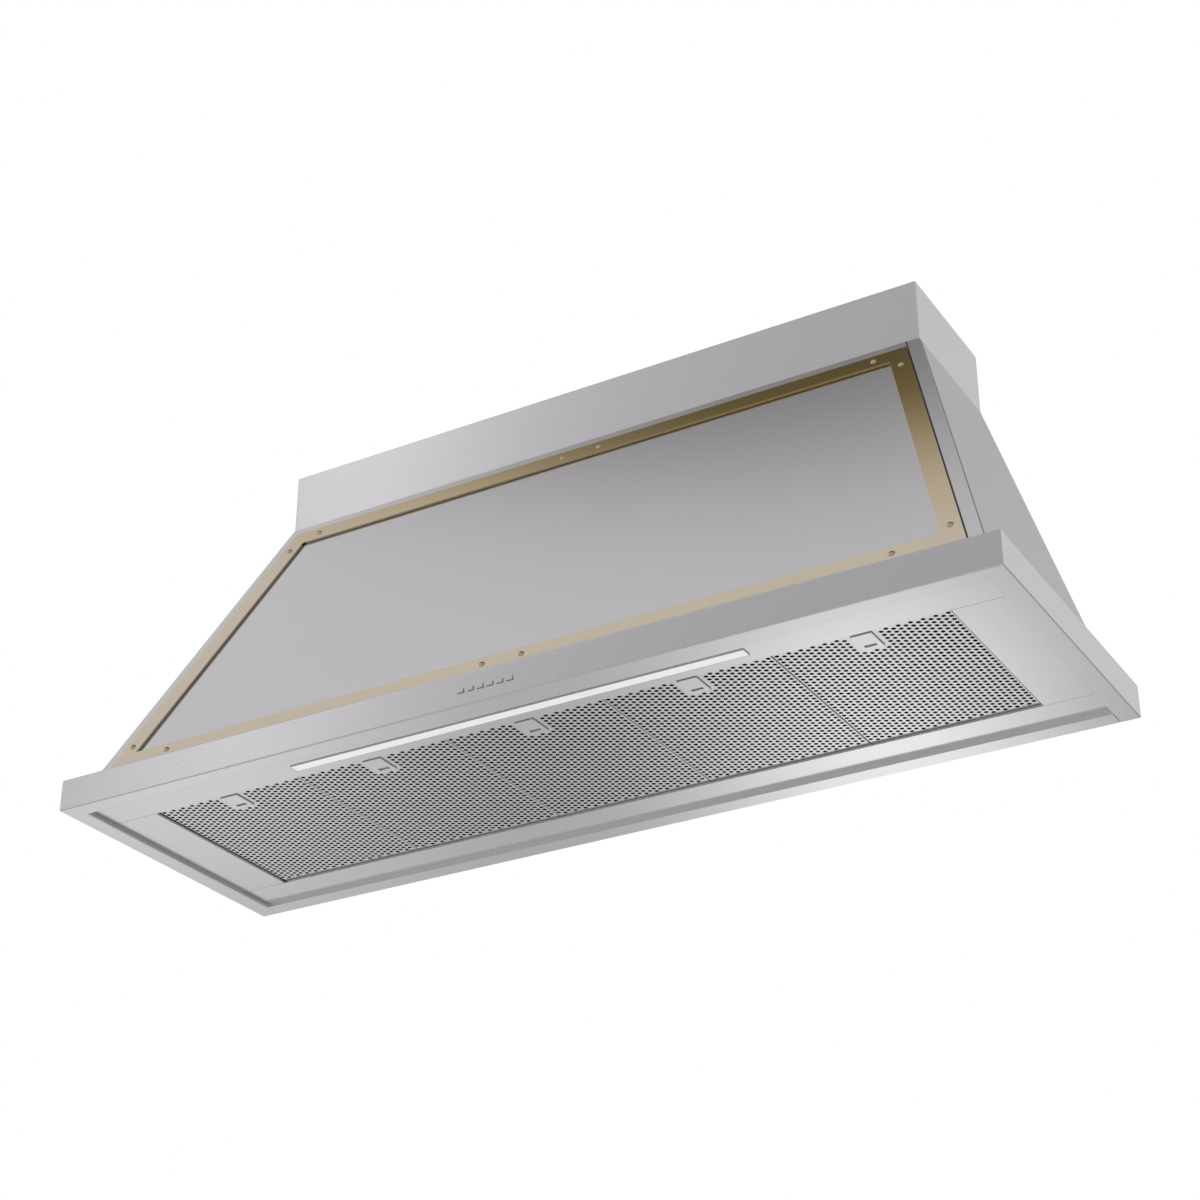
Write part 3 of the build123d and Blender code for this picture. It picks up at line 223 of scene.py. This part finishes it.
def feed(tree, place, value):
    """Put a value into an input socket, or link a Socket to it."""
    if isinstance(value, Socket):
        tree.links.new(value.link, place)
    else:
        place.default_value = value


class Tree:
    """A node tree that is written as calls: one call for each node."""

    def __init__(self, node_tree):
        self.nodes = node_tree

    def node(self, kind, settings, inputs, output=0):
        """Add a node: its settings first, then a value or a Socket for each named input."""
        made = self.nodes.nodes.new("ShaderNode" + kind)
        for name, value in settings.items():
            setattr(made, name, value)
        for name, value in inputs.items():
            feed(self.nodes, made.inputs[name], value)
        return Socket(self.nodes, made.outputs[output])

    def place(self):
        """The point on the piece, in the object's own metres."""
        return self.node("TexCoord", {}, {}, "Object")

    def along(self, vector, direction):
        """How far a vector reaches along a direction."""
        operation = {"operation": "DOT_PRODUCT"}
        return self.node("VectorMath", operation, {0: vector, 1: direction}, "Value")

    def noise(self, vector, scale, detail=2.0, roughness=0.5):
        """Soft random clouds between 0 and 1, scale of them to a unit of the vector."""
        return self.node(
            "TexNoise",
            {},
            {"Vector": vector, "Scale": scale, "Detail": detail, "Roughness": roughness},
            0,
        )

    def blend(self, amount, dark, light):
        """A colour between dark and light."""
        mix = self.nodes.nodes.new("ShaderNodeMix")
        mix.data_type = "RGBA"
        feed(self.nodes, mix.inputs[0], amount)
        feed(self.nodes, mix.inputs[6], dark)
        feed(self.nodes, mix.inputs[7], light)
        return Socket(self.nodes, mix.outputs[2])

    def bump(self, height, strength, distance):
        """A normal that leans with a height: strength is its share, distance its metres."""
        return self.node(
            "Bump", {}, {"Height": height, "Strength": strength, "Distance": distance}, "Normal"
        )


class Finish(Tree):
    """A material with one Principled shader, whose even values are set on its own sockets."""

    def __init__(self, name, **even):
        self.material = bpy.data.materials.new(name)
        self.material.use_nodes = True
        super().__init__(self.material.node_tree)
        self.shader = self.material.node_tree.nodes["Principled BSDF"]
        self.set(**even)

    def set(self, **values):
        """Set the shader's inputs; a name's underscore stands for a space."""
        for name, value in values.items():
            feed(self.nodes, self.shader.inputs[name.replace("_", " ")], value)


def shade(color, factor):
    """A colour made lighter or darker, with its alpha kept."""
    return tuple(min(1.0, part * factor) for part in color) + (1.0,)


def brushed_metal(name, color, roughness, grain_way, painted_light_and_shade=None, depth=0.1, painted_reflection=None):
    """Satin metal brushed along grain_way: short fine scratches and long faint streaks that lie
    along it change the tone, and the scratches and broad clouds change the gloss. The mask of
    painted light and shade, if there is one, is 0 where painted light and shade go into the colour,
    which is multiplied there by the depth: below 1 a painted shade, above 1 a painted lighter tone;
    it is 1 elsewhere. The painted reflection, if there is one, is 0 where a dark reflection is
    painted into the metal as warm dark brass and 1 where it isn't."""
    finish = Finish(name, Metallic=1.0)
    place = finish.place()
    way = Vector(grain_way).normalized()
    side = way.orthogonal().normalized()
    up = way.cross(side)
    run = finish.along(place, way)
    across = finish.along(place, side)
    rise = finish.along(place, up)
    scratch_space = finish.node(
        "CombineXYZ", {}, {0: run / SCRATCH_LENGTH, 1: across / GRAIN, 2: rise / GRAIN}
    )
    streak_space = finish.node(
        "CombineXYZ", {}, {0: run / STREAK_LENGTH, 1: across / STREAK_WIDTH, 2: rise / STREAK_WIDTH}
    )
    scratches = finish.noise(scratch_space, 1.0, 2.0, 0.6)
    streaks = finish.noise(streak_space, 1.0, 3.0, 0.6)
    clouds = finish.noise(place, 5.0, 2.0)
    tone = scratches * 0.5 + streaks * 0.5
    dull, bright = shade(color, 1 - CONTRAST), shade(color, 1 + CONTRAST)
    tint = finish.blend((tone - 0.25) * 2.0, dull, bright)
    # Painted dark reflection: warm dark brass where its mask falls to 0
    if painted_reflection:
        tint = finish.blend(painted_reflection(finish, place), REFLECTED_DARK_BRASS + (1.0,), tint)
    # Painted light and shade: the colour times the depth where its mask falls to 0
    if painted_light_and_shade:
        tint = finish.blend(painted_light_and_shade(finish, place), shade(color, depth), tint)
    finish.set(
        Base_Color=tint,
        Roughness=roughness + (scratches - 0.5) * SCRATCH_GLOSS + (clouds - 0.5) * CLOUD_GLOSS,
        Normal=finish.bump(scratches, 0.003, 0.0003),
    )
    return finish.material


def step_up(value, low, high):
    """0 up to low, 1 from high, and evenly rising between them."""
    return ((value - low) / (high - low)).above(0.0).below(1.0)


def above_slope(finish, place):
    """How far a place stands out from the cover's sloped front face, in metres."""
    return finish.along(place, SLOPE_OUT) - SLOPE_OUT.dot(SLOPE_HEAD)


def down_slope(finish, place):
    """How far a place lies down the cover's slope from its upper edge, in metres."""
    return finish.along(place, SLOPE_DOWN) - SLOPE_DOWN.dot(SLOPE_HEAD)


def strip_foot_shade(finish, place):
    """Painted shade on the rebated foot of a brass strip, where it stands on the cover: 0 there,
    and 1 above it.
    """
    return step_up(above_slope(finish, place), *STRIP_REBATE)


def strip_side_shade(finish, place):
    """Painted shade on the whole sides of a brass strip, up to its rounded edges: 0 there, and 1
    above.
    """
    return step_up(above_slope(finish, place), *STRIP_WALL)


def cover_edge_shade(finish, place):
    """Painted shade on the cut edges of the cover sheet, behind its face, and a painted shadow on
    the cover along the right brass strip's outer side."""
    cut = step_up(above_slope(finish, place), *COVER_CUT)
    inset = STRIP_OUTER.dot(STRIP_CORNER) - finish.along(place, STRIP_OUTER)
    inner_edge = step_up(inset, -SEAM_SHADOW_EDGE, 0.0)
    outer_edge = 1.0 - step_up(inset, -SEAM_SHADOW_WIDTH - SEAM_SHADOW_EDGE, -SEAM_SHADOW_WIDTH)
    return cut.below(inner_edge.above(outer_edge))


def fold_groove_shade(finish, place):
    """Painted shade in the rounded fold of a side panel, behind the cover's edge."""
    return step_up(above_slope(finish, place) * -1.0, *FOLD)


def rim_lip_light(finish, place):
    """The rim's inner walls and their bends, round the underside, where painted light makes them
    lighter than the sheet: 0 on them and 1 elsewhere.
    """
    half_width, depth = RIM_INSIDE
    level = finish.along(place, UPRIGHT)
    aside = finish.along(place, ACROSS)
    forward = finish.along(place, DEPTH) * -1.0
    outside = step_up(aside.maths("ABSOLUTE", aside), half_width - RIM_EDGE, half_width)
    outside = outside.above(step_up(forward, depth - RIM_EDGE, depth))
    below_bend = 1.0 - step_up(level, *RIM_BEND)
    above_lip = step_up(level, RIM_LIP_TOP, RIM_LIP_TOP + RIM_EDGE)
    return outside.above(below_bend).above(above_lip)


def painted_dark_reflection(finish, place):
    """A painted dark reflection on the brass, deepening towards the frame's upper right corner: 0
    where it is full and 1 where there is none.
    """
    share = REFLECTION_START - REFLECTION_ACROSS_RATE * finish.along(place, ACROSS)
    return (share + down_slope(finish, place) / REFLECTION_RUN).above(0.0).below(1.0)


def hole_wall_shade(finish, place):
    """Painted shade on the walls of a filter's holes and of its latch's slot, which carry their own
    attribute.
    """
    return 1.0 - finish.node("Attribute", {"attribute_name": HOLE_SHADE_MARK}, {}, "Fac")


def screw_slot_shade(finish, place):
    """Painted shade in the slots, which lie level along the four rows of screws down the slope."""
    down = down_slope(finish, place)
    distances = [(down - row).maths("ABSOLUTE", down - row) for row in SCREW_ROWS]
    nearest = distances[0]
    for distance in distances[1:]:
        nearest = nearest.below(distance)
    return step_up(nearest, *SLOT)


def plain_metal(name, color, roughness, spangle=0.0):
    """Unbrushed sheet: faint clouds in its tone and gloss and, on galvanised sheet, a patchwork
    of crystal tones."""
    finish = Finish(name, Metallic=0.9)
    place = finish.place()
    cells = {"Vector": place, "Scale": 70.0}
    crystals = finish.node("TexVoronoi", {"feature": "F1"}, cells, "Color")
    tone = finish.along(crystals, (0.33, 0.33, 0.33))
    clouds = finish.noise(place, 12.0, 3.0)
    dull, bright = shade(color, 0.8), shade(color, 1.2)
    finish.set(
        Base_Color=finish.blend(tone * spangle + clouds * 0.3, dull, bright),
        Roughness=roughness + (clouds - 0.5) * 0.15,
        Normal=finish.bump(clouds, 0.03, 0.001),
    )
    return finish.material


def moulded_plastic(name, color, roughness):
    """Moulded plastic with a fine spark-eroded grain and faint clouds."""
    finish = Finish(name)
    place = finish.place()
    grain = finish.noise(place, 2500.0, 1.0)
    clouds = finish.noise(place, 30.0, 2.0)
    finish.set(
        Base_Color=finish.blend(clouds, shade(color, 0.94), shade(color, 1.05)),
        Roughness=roughness + (clouds - 0.5) * 0.1,
        Normal=finish.bump(grain, 0.12, 0.0002),
    )
    return finish.material


def wire_mesh(name):
    """Knitted aluminium wire: two families of fine wires that cross, painted nearly black as shade
    behind the filters' holes, lightest on the wires' tops and darkest between them, as painted
    shade."""
    finish = Finish(name, Metallic=0.7, Roughness=0.5)
    place = finish.place()
    across = finish.along(place, ACROSS)
    deep = finish.along(place, DEPTH)
    across = across.maths("PINGPONG", across, WIRE_PITCH)
    deep = deep.maths("PINGPONG", deep, WIRE_PITCH)
    wires = across.above(deep) / WIRE_PITCH
    # Painted shade: nearly black wires, darkest between them
    finish.set(
        Base_Color=finish.blend(wires ** 3.0, (0.010, 0.010, 0.011, 1), (0.10, 0.10, 0.10, 1)),
        Normal=finish.bump(wires, 0.4, 0.0003),
    )
    return finish.material


def opal_diffuser(name):
    """Opal plastic that glows, with faint clouds in its white."""
    finish = Finish(name, Roughness=0.35, Emission_Strength=0.40)
    place = finish.place()
    clouds = finish.noise(place, 20.0, 2.0)
    finish.set(
        Base_Color=finish.blend(clouds, (0.86, 0.86, 0.86, 1), (0.93, 0.93, 0.93, 1)),
        Emission_Color=finish.blend(clouds, (0.90, 0.91, 0.92, 1), (1.0, 1.0, 1.0, 1)),
    )
    return finish.material


def fill(mesh, points, faces):
    """Put vertices and four-sided faces into a mesh with foreach_set."""
    points = np.asarray(points, np.float32)
    faces = np.asarray(faces, np.int32)
    mesh.vertices.add(len(points))
    mesh.vertices.foreach_set("co", points.ravel())
    mesh.loops.add(faces.size)
    mesh.loops.foreach_set("vertex_index", faces.ravel())
    mesh.polygons.add(len(faces))
    mesh.polygons.foreach_set("loop_start", np.arange(0, faces.size, 4, dtype=np.int32))
    mesh.polygons.foreach_set("use_smooth", np.zeros(len(faces), bool))
    mesh.update(calc_edges=True)
    mesh.validate()


def new_piece(name, points, faces, shade_marked, material, body, slot):
    """A mesh piece in its place, with its finish, riding on a body. The marked faces, walls that
    get painted shade, carry 1 in the mark's attribute and the others 0."""
    mesh = bpy.data.meshes.new(name)
    fill(mesh, points, faces)
    mark = mesh.attributes.new(HOLE_SHADE_MARK, "FLOAT", "CORNER")
    mark.data.foreach_set("value", np.repeat(shade_marked.astype(np.float32), 4))
    piece = bpy.data.objects.new(name, mesh)
    scene.collection.objects.link(piece)
    mesh.materials.append(material)
    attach(piece, body)
    return piece


def grid_faces(rows, columns, closed):
    """Four-sided faces of a grid of points; closed joins the last column to the first."""
    row = np.arange(rows - 1)[:, None]
    column = np.arange(columns if closed else columns - 1)[None, :]
    after = (column + 1) % columns
    corners = (row * columns + column, row * columns + after)
    corners += ((row + 1) * columns + after, (row + 1) * columns + column)
    return np.stack([np.broadcast_to(c, corners[0].shape) for c in corners], -1).reshape(-1, 4)


def lattice_lines(low, high, first, step):
    """Lines from low to high, evenly stepped from first between the two ends."""
    count = int((high - 0.4 * step - first) / step) + 1
    inner = first + step * np.arange(count)
    return np.concatenate([[low], inner, [high]])


def perforated_tray(low, high):
    """The tray of one filter between two corners, in millimetres. Its face is a lattice of lines
    a quarter of a hole's pitch apart. Each hole takes four by four squares of the lattice: the
    sixteen lattice points round them are joined to sixteen points on the hole's circle. The tray's
    wall is a folded profile carried round the face's edge, where each point slides outwards in
    proportion to its distance from the middle."""
    step_x = COLUMN_PITCH / CELL_STEPS
    step_y = ROW_PITCH / CELL_STEPS
    middle = (low[:2] + high[:2]) / 2
    half = (high[:2] - low[:2]) / 2
    first_x = middle[0] - COLUMNS * COLUMN_PITCH / 2 + step_x
    xs = lattice_lines(low[0] + BEND, high[0] - BEND, first_x, step_x)
    first_cell = low[1] + FIRST_ROW - ROW_PITCH / 2
    ys = lattice_lines(low[1] + BEND, high[1] - BEND, first_cell - step_y, step_y)
    wide, tall = len(xs), len(ys)
    face_z = low[2]

    # The holes: each cell's first lines and its middle. The first cell starts at the third line of
    # the depth, and every other column lies half a row further back.
    columns, rows = np.meshgrid(np.arange(COLUMNS), np.arange(ROWS), indexing="ij")
    plain = (columns >= PLAIN_COLUMNS[0]) & (columns <= PLAIN_COLUMNS[1]) & (rows < PLAIN_ROWS)
    columns, rows = columns[~plain], rows[~plain]
    cell_i = CELL_STEPS * columns
    third_line = 2
    cell_j = third_line + CELL_STEPS * rows + CELL_STEPS // 2 * (columns % 2)
    centre_x = (xs[cell_i] + xs[cell_i + CELL_STEPS]) / 2
    centre_x[columns == 0] = xs[CELL_STEPS] - COLUMN_PITCH / 2
    centre_x[columns == COLUMNS - 1] = xs[-1 - CELL_STEPS] + COLUMN_PITCH / 2
    centre_y = (ys[cell_j] + ys[cell_j + CELL_STEPS]) / 2

    # The lattice points round each cell and the points on the hole's circle, in the same order
    steps = np.arange(CELL_STEPS)
    ring_i = np.concatenate([steps, 0 * steps + CELL_STEPS, CELL_STEPS - steps, 0 * steps])
    ring_j = np.concatenate([0 * steps, steps, 0 * steps + CELL_STEPS, CELL_STEPS - steps])
    turn = -0.75 * math.pi + 2 * math.pi * np.arange(HOLE_SIDES) / HOLE_SIDES
    outer = (cell_j[:, None] + ring_j) * wide + cell_i[:, None] + ring_i
    inner = wide * tall + np.arange(len(columns) * HOLE_SIDES).reshape(-1, HOLE_SIDES)
    hole_x = centre_x[:, None] + HOLE_RADIUS * np.cos(turn)
    hole_y = centre_y[:, None] + HOLE_RADIUS * np.sin(turn)

    # The squares that are left between the holes and round the latch's slot
    solid = np.ones((tall - 1, wide - 1), bool)
    for i in steps:
        for j in steps:
            solid[cell_j + j, cell_i + i] = False
    gap_x = np.abs((xs[:-1] + xs[1:]) / 2 - middle[0]) < NECK_SLOT[0]
    gap_y = np.abs((ys[:-1] + ys[1:]) / 2 - (low[1] + NECK_SLOT[1])) < NECK_SLOT[2]
    gap = gap_y[:, None] & gap_x[None, :]
    solid &= ~gap
    square_j, square_i = np.nonzero(solid)
    base = square_j * wide + square_i
    squares = np.stack([base, base + 1, base + wide + 1, base + wide], -1)
    outer_next, inner_next = np.roll(outer, -1, 1), np.roll(inner, -1, 1)
    spokes = np.stack([outer, outer_next, inner_next, inner], -1).reshape(-1, 4)
    flat = np.concatenate([squares, spokes])

    # The face's under side and upper side, and the walls of the holes and of the latch's slot
    grid_y, grid_x = np.meshgrid(ys, xs, indexing="ij")
    layer_x = np.concatenate([grid_x.ravel(), hole_x.ravel()])
    layer_y = np.concatenate([grid_y.ravel(), hole_y.ravel()])
    layer = np.stack([layer_x, layer_y], -1)
    count = len(layer)
    under = np.column_stack([layer, np.full(count, face_z)])
    over = np.column_stack([layer, np.full(count, face_z + SHEET)])
    hole_wall = np.stack([inner, inner_next, inner_next + count, inner + count], -1).reshape(-1, 4)
    edge_i = np.nonzero(gap_x)[0]
    edge_j = np.nonzero(gap_y)[0]
    gap_path = np.concatenate(
        [
            edge_j[0] * wide + edge_i,
            edge_j * wide + edge_i[-1] + 1,
            (edge_j[-1] + 1) * wide + edge_i[::-1] + 1,
            (edge_j[::-1] + 1) * wide + edge_i[0],
        ]
    )
    gap_next = np.roll(gap_path, -1)
    gap_wall = np.stack([gap_path, gap_next, gap_next + count, gap_path + count], -1)

    # The folded wall: its profile, as distance in from the outside and height, and the path round
    # the face's edge that it is carried along
    bend_turn = np.linspace(0, math.pi / 2, BEND_STEPS)
    wall = [(BEND * (1 - math.sin(a)), face_z + BEND * (1 - math.cos(a))) for a in bend_turn]
    wall += [(0, high[2]), (RETURN, high[2]), (RETURN, high[2] - SHEET), (SHEET, high[2] - SHEET)]
    inner_bend = BEND - SHEET
    wall += [
        (BEND - inner_bend * math.sin(a), face_z + BEND - inner_bend * math.cos(a))
        for a in bend_turn[::-1]
    ]
    wall = np.array(wall)
    across = np.arange(wide - 1)
    down = np.arange(tall - 1)
    path = np.concatenate(
        [
            across,
            down * wide + wide - 1,
            (tall - 1) * wide + wide - 1 - across,
            (tall - 1 - down) * wide,
        ]
    )
    reach = (half[None, :] - wall[:, :1]) / (half[None, :] - BEND)
    ring = middle + (layer[path][None, :, :] - middle) * reach[:, None, :]
    heights = np.broadcast_to(wall[:, 1][:, None, None], ring.shape[:2] + (1,))
    fold = np.concatenate([ring, heights], -1).reshape(-1, 3)
    fold_faces = grid_faces(len(wall), len(path), closed=True) + 2 * count

    # One mesh, with the points that coincide merged
    points = np.concatenate([under, over, fold])
    walls = np.concatenate([hole_wall, gap_wall])
    faces = np.concatenate([walls, flat[:, ::-1], flat + count, fold_faces[:, ::-1]])
    # The walls of the holes and of the latch's slot are marked for painted shade
    shade_marked = np.arange(len(faces)) < len(walls)
    key = np.round(points, 4)
    merged, index = np.unique(key, axis=0, return_inverse=True)
    faces = index.reshape(-1)[faces]
    used, faces = np.unique(faces, return_inverse=True)
    return merged[used] * MM, faces.reshape(-1, 4), shade_marked


def dress(material, *names):
    """Give CAD nodes a finish."""
    for name in names:
        nodes[name].data.materials.clear()
        nodes[name].data.materials.append(material)


# Colours of the bare metals, and the warm dark brass of the painted dark reflection
STEEL = (0.62, 0.608, 0.622)
BRASS = (0.64, 0.55, 0.43)
REFLECTED_DARK_BRASS = (0.43, 0.30, 0.11)

# Finishes of the CAD nodes. Painted shade darkens the cover's cut edges and a band beside the right
# brass strip, the side panels' folds, the filters' hole walls and the screws' slots; a depth above
# 1 makes a rim's inner walls lighter than its sheet, as painted light
steel_across = brushed_metal("steel_across", STEEL, 0.27, ACROSS)
rim_across = brushed_metal("rim_across", STEEL, 0.27, ACROSS, painted_light_and_shade=rim_lip_light, depth=1.35)
rim_depth = brushed_metal("rim_depth", STEEL, 0.27, DEPTH, painted_light_and_shade=rim_lip_light, depth=1.15)
panel_depth = brushed_metal("panel_depth", STEEL, 0.27, DEPTH)
steel_cover = brushed_metal("steel_cover", STEEL, 0.143, ACROSS, painted_light_and_shade=cover_edge_shade)
steel_side = brushed_metal("steel_side", STEEL, 0.27, DEPTH, painted_light_and_shade=fold_groove_shade)
filter_steel = brushed_metal("filter_steel", STEEL, 0.30, DEPTH, painted_light_and_shade=hole_wall_shade, depth=0.35)
latch_steel = brushed_metal("latch_steel", (0.66, 0.65, 0.66), 0.30, ACROSS)
button_steel = brushed_metal("button_steel", STEEL, 0.27, ACROSS)
shaft_steel = brushed_metal("shaft_steel", (0.55, 0.55, 0.56), 0.25, ACROSS)
galvanised = plain_metal("galvanised", (0.55, 0.57, 0.58), 0.42, spangle=0.7)
motor_paint = plain_metal("motor_paint", (0.10, 0.10, 0.11), 0.45)
brass_screw = brushed_metal("brass_screw", (0.58, 0.46, 0.28), 0.20, ACROSS, painted_light_and_shade=screw_slot_shade)

dress(steel_across, "upper_box", "underside_front", "underside_rear")
dress(rim_across, "rim_front", "rim_rear")
dress(rim_depth, "rim_left", "rim_right")
dress(panel_depth, "underside_left", "underside_right")
dress(steel_cover, "canopy_front")
dress(steel_side, "canopy_left", "canopy_right")
dress(galvanised, "back_plate", "top_deck", "blower_housing", "outlet_duct", "duct_collar")
dress(galvanised, "motor_bracket", "impeller", "damper_front", "damper_rear")
dress(motor_paint, "blower_motor")
dress(brass_screw, "trim_screws")
dress(shaft_steel, "case_screws", "motor_shaft", "damper_rod")
dress(plain_metal("lamp_body", (0.80, 0.80, 0.81), 0.4), "lamp_housing")
dress(opal_diffuser("opal"), "lamp_diffuser")
dress(moulded_plastic("led_board", (0.85, 0.84, 0.78), 0.5), "led_strip")
dress(moulded_plastic("white_plastic", (0.80, 0.80, 0.78), 0.45), "led_driver")
dress(moulded_plastic("black_plastic", (0.03, 0.03, 0.03), 0.45), "switch_housing", "cable_gland")
dress(moulded_plastic("grey_plastic", (0.40, 0.41, 0.42), 0.5), "junction_box")
dress(button_steel, *[f"button_{number}" for number in range(1, 7)])

# Brass strips, each brushed along its length, with painted shade on the level and left strips'
# rebated feet and on the right strip's whole sides, and a painted dark reflection towards the
# frame's upper right corner
right_low, right_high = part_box("trim_right")
right_way = (right_low.x - right_high.x, right_high.y - right_low.y, right_high.z - right_low.z)
left_way = (-right_way[0], right_way[1], right_way[2])
level_strips = ("trim_top_left", "trim_top_right", "trim_bottom_left", "trim_bottom_right")
for name, way, painted_light_and_shade, depth, strips in (
    ("brass_across", ACROSS, strip_foot_shade, 0.65, level_strips),
    ("brass_right", right_way, strip_side_shade, 0.1, ("trim_right",)),
    ("brass_left", left_way, strip_foot_shade, 0.65, ("trim_left",)),
):
    finish = brushed_metal(name, BRASS, 0.08, way, painted_light_and_shade=painted_light_and_shade, depth=depth, painted_reflection=painted_dark_reflection)
    dress(finish, *strips)

# Filters: the finely perforated tray of each takes the place of its CAD frame
knitted = wire_mesh("knitted_wire")
for number in range(1, FILTER_COUNT + 1):
    dress(knitted, f"filter_mesh_{number}")
    dress(latch_steel, f"filter_latch_{number}")
    low, high = (np.array(corner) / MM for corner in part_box(f"filter_frame_{number}"))
    high[1] -= HINGE_TAB
    tray = perforated_tray(low, high)
    body = f"filter_{number}"
    screen = new_piece(f"filter_screen_{number}", *tray, filter_steel, body, "filter_steel")
    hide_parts(f"filter_frame_{number}")


# Floor: pale paint; to the camera it glows up to the backdrop's white, and the metal mirrors two
# soft pools of light on it
def pool(paint, place, strength, centre, spread, slant):
    """How bright a pool of light is at a place: its strength at the centre, falling off in a bell
    curve, exp(-(aside^2 + deep^2) / 2), counted in the spread across and in depth. Its middle line
    moves aside by the slant for each metre of depth."""
    deep = paint.along(place, DEPTH) - centre[1]
    aside = (paint.along(place, ACROSS) - centre[0] - deep * slant) / spread[0]
    deep = deep / spread[1]
    fall = (aside * aside + deep * deep) * -0.5
    return fall.maths("EXPONENT", fall) * strength


floor_mesh = bpy.data.meshes.new("floor")
floor_corners = [
    (x * FLOOR_HALF, y * FLOOR_HALF, FLOOR_LEVEL) for x, y in ((-1, -1), (1, -1), (1, 1), (-1, 1))
]
floor_mesh.from_pydata(floor_corners, [], [(0, 1, 2, 3)])
floor = bpy.data.objects.new("floor", floor_mesh)
scene.collection.objects.link(floor)
floor_paint = Finish("floor_paint", Roughness=0.9, Emission_Strength=FLOOR_GLOW)
place = floor_paint.place()
camera_ray = floor_paint.node("LightPath", {}, {}, "Is Camera Ray")
mirror_ray = floor_paint.node("LightPath", {}, {}, "Is Glossy Ray")
pools = pool(floor_paint, place, *LEFT_POOL) + pool(floor_paint, place, *RIGHT_POOL)
front = step_up(FRONT_STRETCH - floor_paint.along(place, DEPTH), 0.0, FRONT_STRETCH)
glow = camera_ray * FLOOR_WHITE + mirror_ray * (pools + front * FRONT_GLOW)
clouds = floor_paint.noise(place, 3.0)
floor_paint.set(
    Base_Color=floor_paint.blend(clouds, (0.55, 0.55, 0.55, 1), (0.57, 0.57, 0.57, 1)),
    Emission_Color=floor_paint.blend(glow / FLOOR_GLOW, (0, 0, 0, 1), (1, 1, 1, 1)),
)

# Seen from below, the floor is clear, so the underside can be looked at from straight beneath
under_side = floor_paint.node("NewGeometry", {}, {}, "Backfacing")
clear = floor_paint.node("BsdfTransparent", {}, {})
painted = Socket(floor_paint.nodes, floor_paint.shader.outputs[0])
one_way = floor_paint.node("MixShader", {}, {0: under_side, 1: painted, 2: clear})
surface = floor_paint.nodes.nodes["Material Output"].inputs["Surface"]
feed(floor_paint.nodes, surface, one_way)
floor_mesh.materials.append(floor_paint.material)


# World: white to the camera, an even pale light on plain colours, and a room with lighter and
# darker sides for the metal to mirror
def heading(azimuth, elevation):
    """The direction of an azimuth, from straight in front towards the right, and an elevation."""
    turn, lift = math.radians(azimuth), math.radians(elevation)
    level = math.cos(lift)
    return Vector((math.sin(turn) * level, -math.cos(turn) * level, math.sin(lift)))


def patch(sky, way, strength, angles, core, rim):
    """How much of a round soft patch of the room a direction meets: its strength within the core
    angle, 0 outside the rim angle, and a smooth step between them, with the angles in degrees."""
    near = sky.along(way, heading(*angles))
    inside, outside = math.cos(math.radians(core)), math.cos(math.radians(rim))
    share = step_up(near, outside, inside)
    return share * share * (3.0 - 2.0 * share) * strength


world = bpy.data.worlds.new("studio")
world.use_nodes = True
scene.world = world
world.node_tree.nodes.clear()
sky = Tree(world.node_tree)
way = sky.node("TexCoord", {}, {}, "Generated")
room = ROOM_EVEN + patch(sky, way, *LEFT_PATCH) + patch(sky, way, *REAR_PATCH)
room = room * (1.0 - patch(sky, way, *DARK_PATCH))
camera_ray = sky.node("LightPath", {}, {}, "Is Camera Ray")
mirror_ray = sky.node("LightPath", {}, {}, "Is Glossy Ray")
plain = PLAIN_LIGHT + (1 - PLAIN_LIGHT) * camera_ray
strength = plain + mirror_ray * (room - plain)
background = world.node_tree.nodes.new("ShaderNodeBackground")
background.inputs["Color"].default_value = (1, 1, 1, 1)
feed(world.node_tree, background.inputs["Strength"], strength)
output = world.node_tree.nodes.new("ShaderNodeOutputWorld")
world.node_tree.links.new(background.outputs[0], output.inputs["Surface"])


def soft_box(name, angles, distance, size, radiance):
    """A rectangular soft light that faces the hood from a heading. Its power comes from the
    radiance and the area."""
    way = heading(*angles)
    data = bpy.data.lights.new(name, "AREA")
    data.shape = "RECTANGLE"
    data.size, data.size_y = size
    data.energy = radiance * math.pi * size[0] * size[1]
    lamp = bpy.data.objects.new(name, data)
    lamp.location = Vector(LAMP_AIM) + way * distance
    lamp.rotation_mode = "QUATERNION"
    lamp.rotation_quaternion = way.to_track_quat("Z", "Y")
    scene.collection.objects.link(lamp)


soft_box("left_strip", (-42, 27), 5.0, (0.48, 4.4), 1.1)
soft_box("right_box", (40, 40), 5.0, (3.0, 3.0), 0.3)

# Camera
camera_data = bpy.data.cameras.new("camera")
camera_data.sensor_width = SENSOR_WIDTH
camera_data.lens = FOCAL_PIXELS / PHOTO_WIDTH * SENSOR_WIDTH
camera_data.clip_end = CAMERA_REACH
camera = bpy.data.objects.new("camera", camera_data)
camera.location = CAMERA_PLACE
camera.rotation_mode = "QUATERNION"
aim = Vector(CAMERA_AIM) - Vector(CAMERA_PLACE)
camera.rotation_quaternion = aim.to_track_quat("-Z", "Y")
scene.collection.objects.link(camera)
scene.camera = camera
scene.view_settings.view_transform = "Standard"
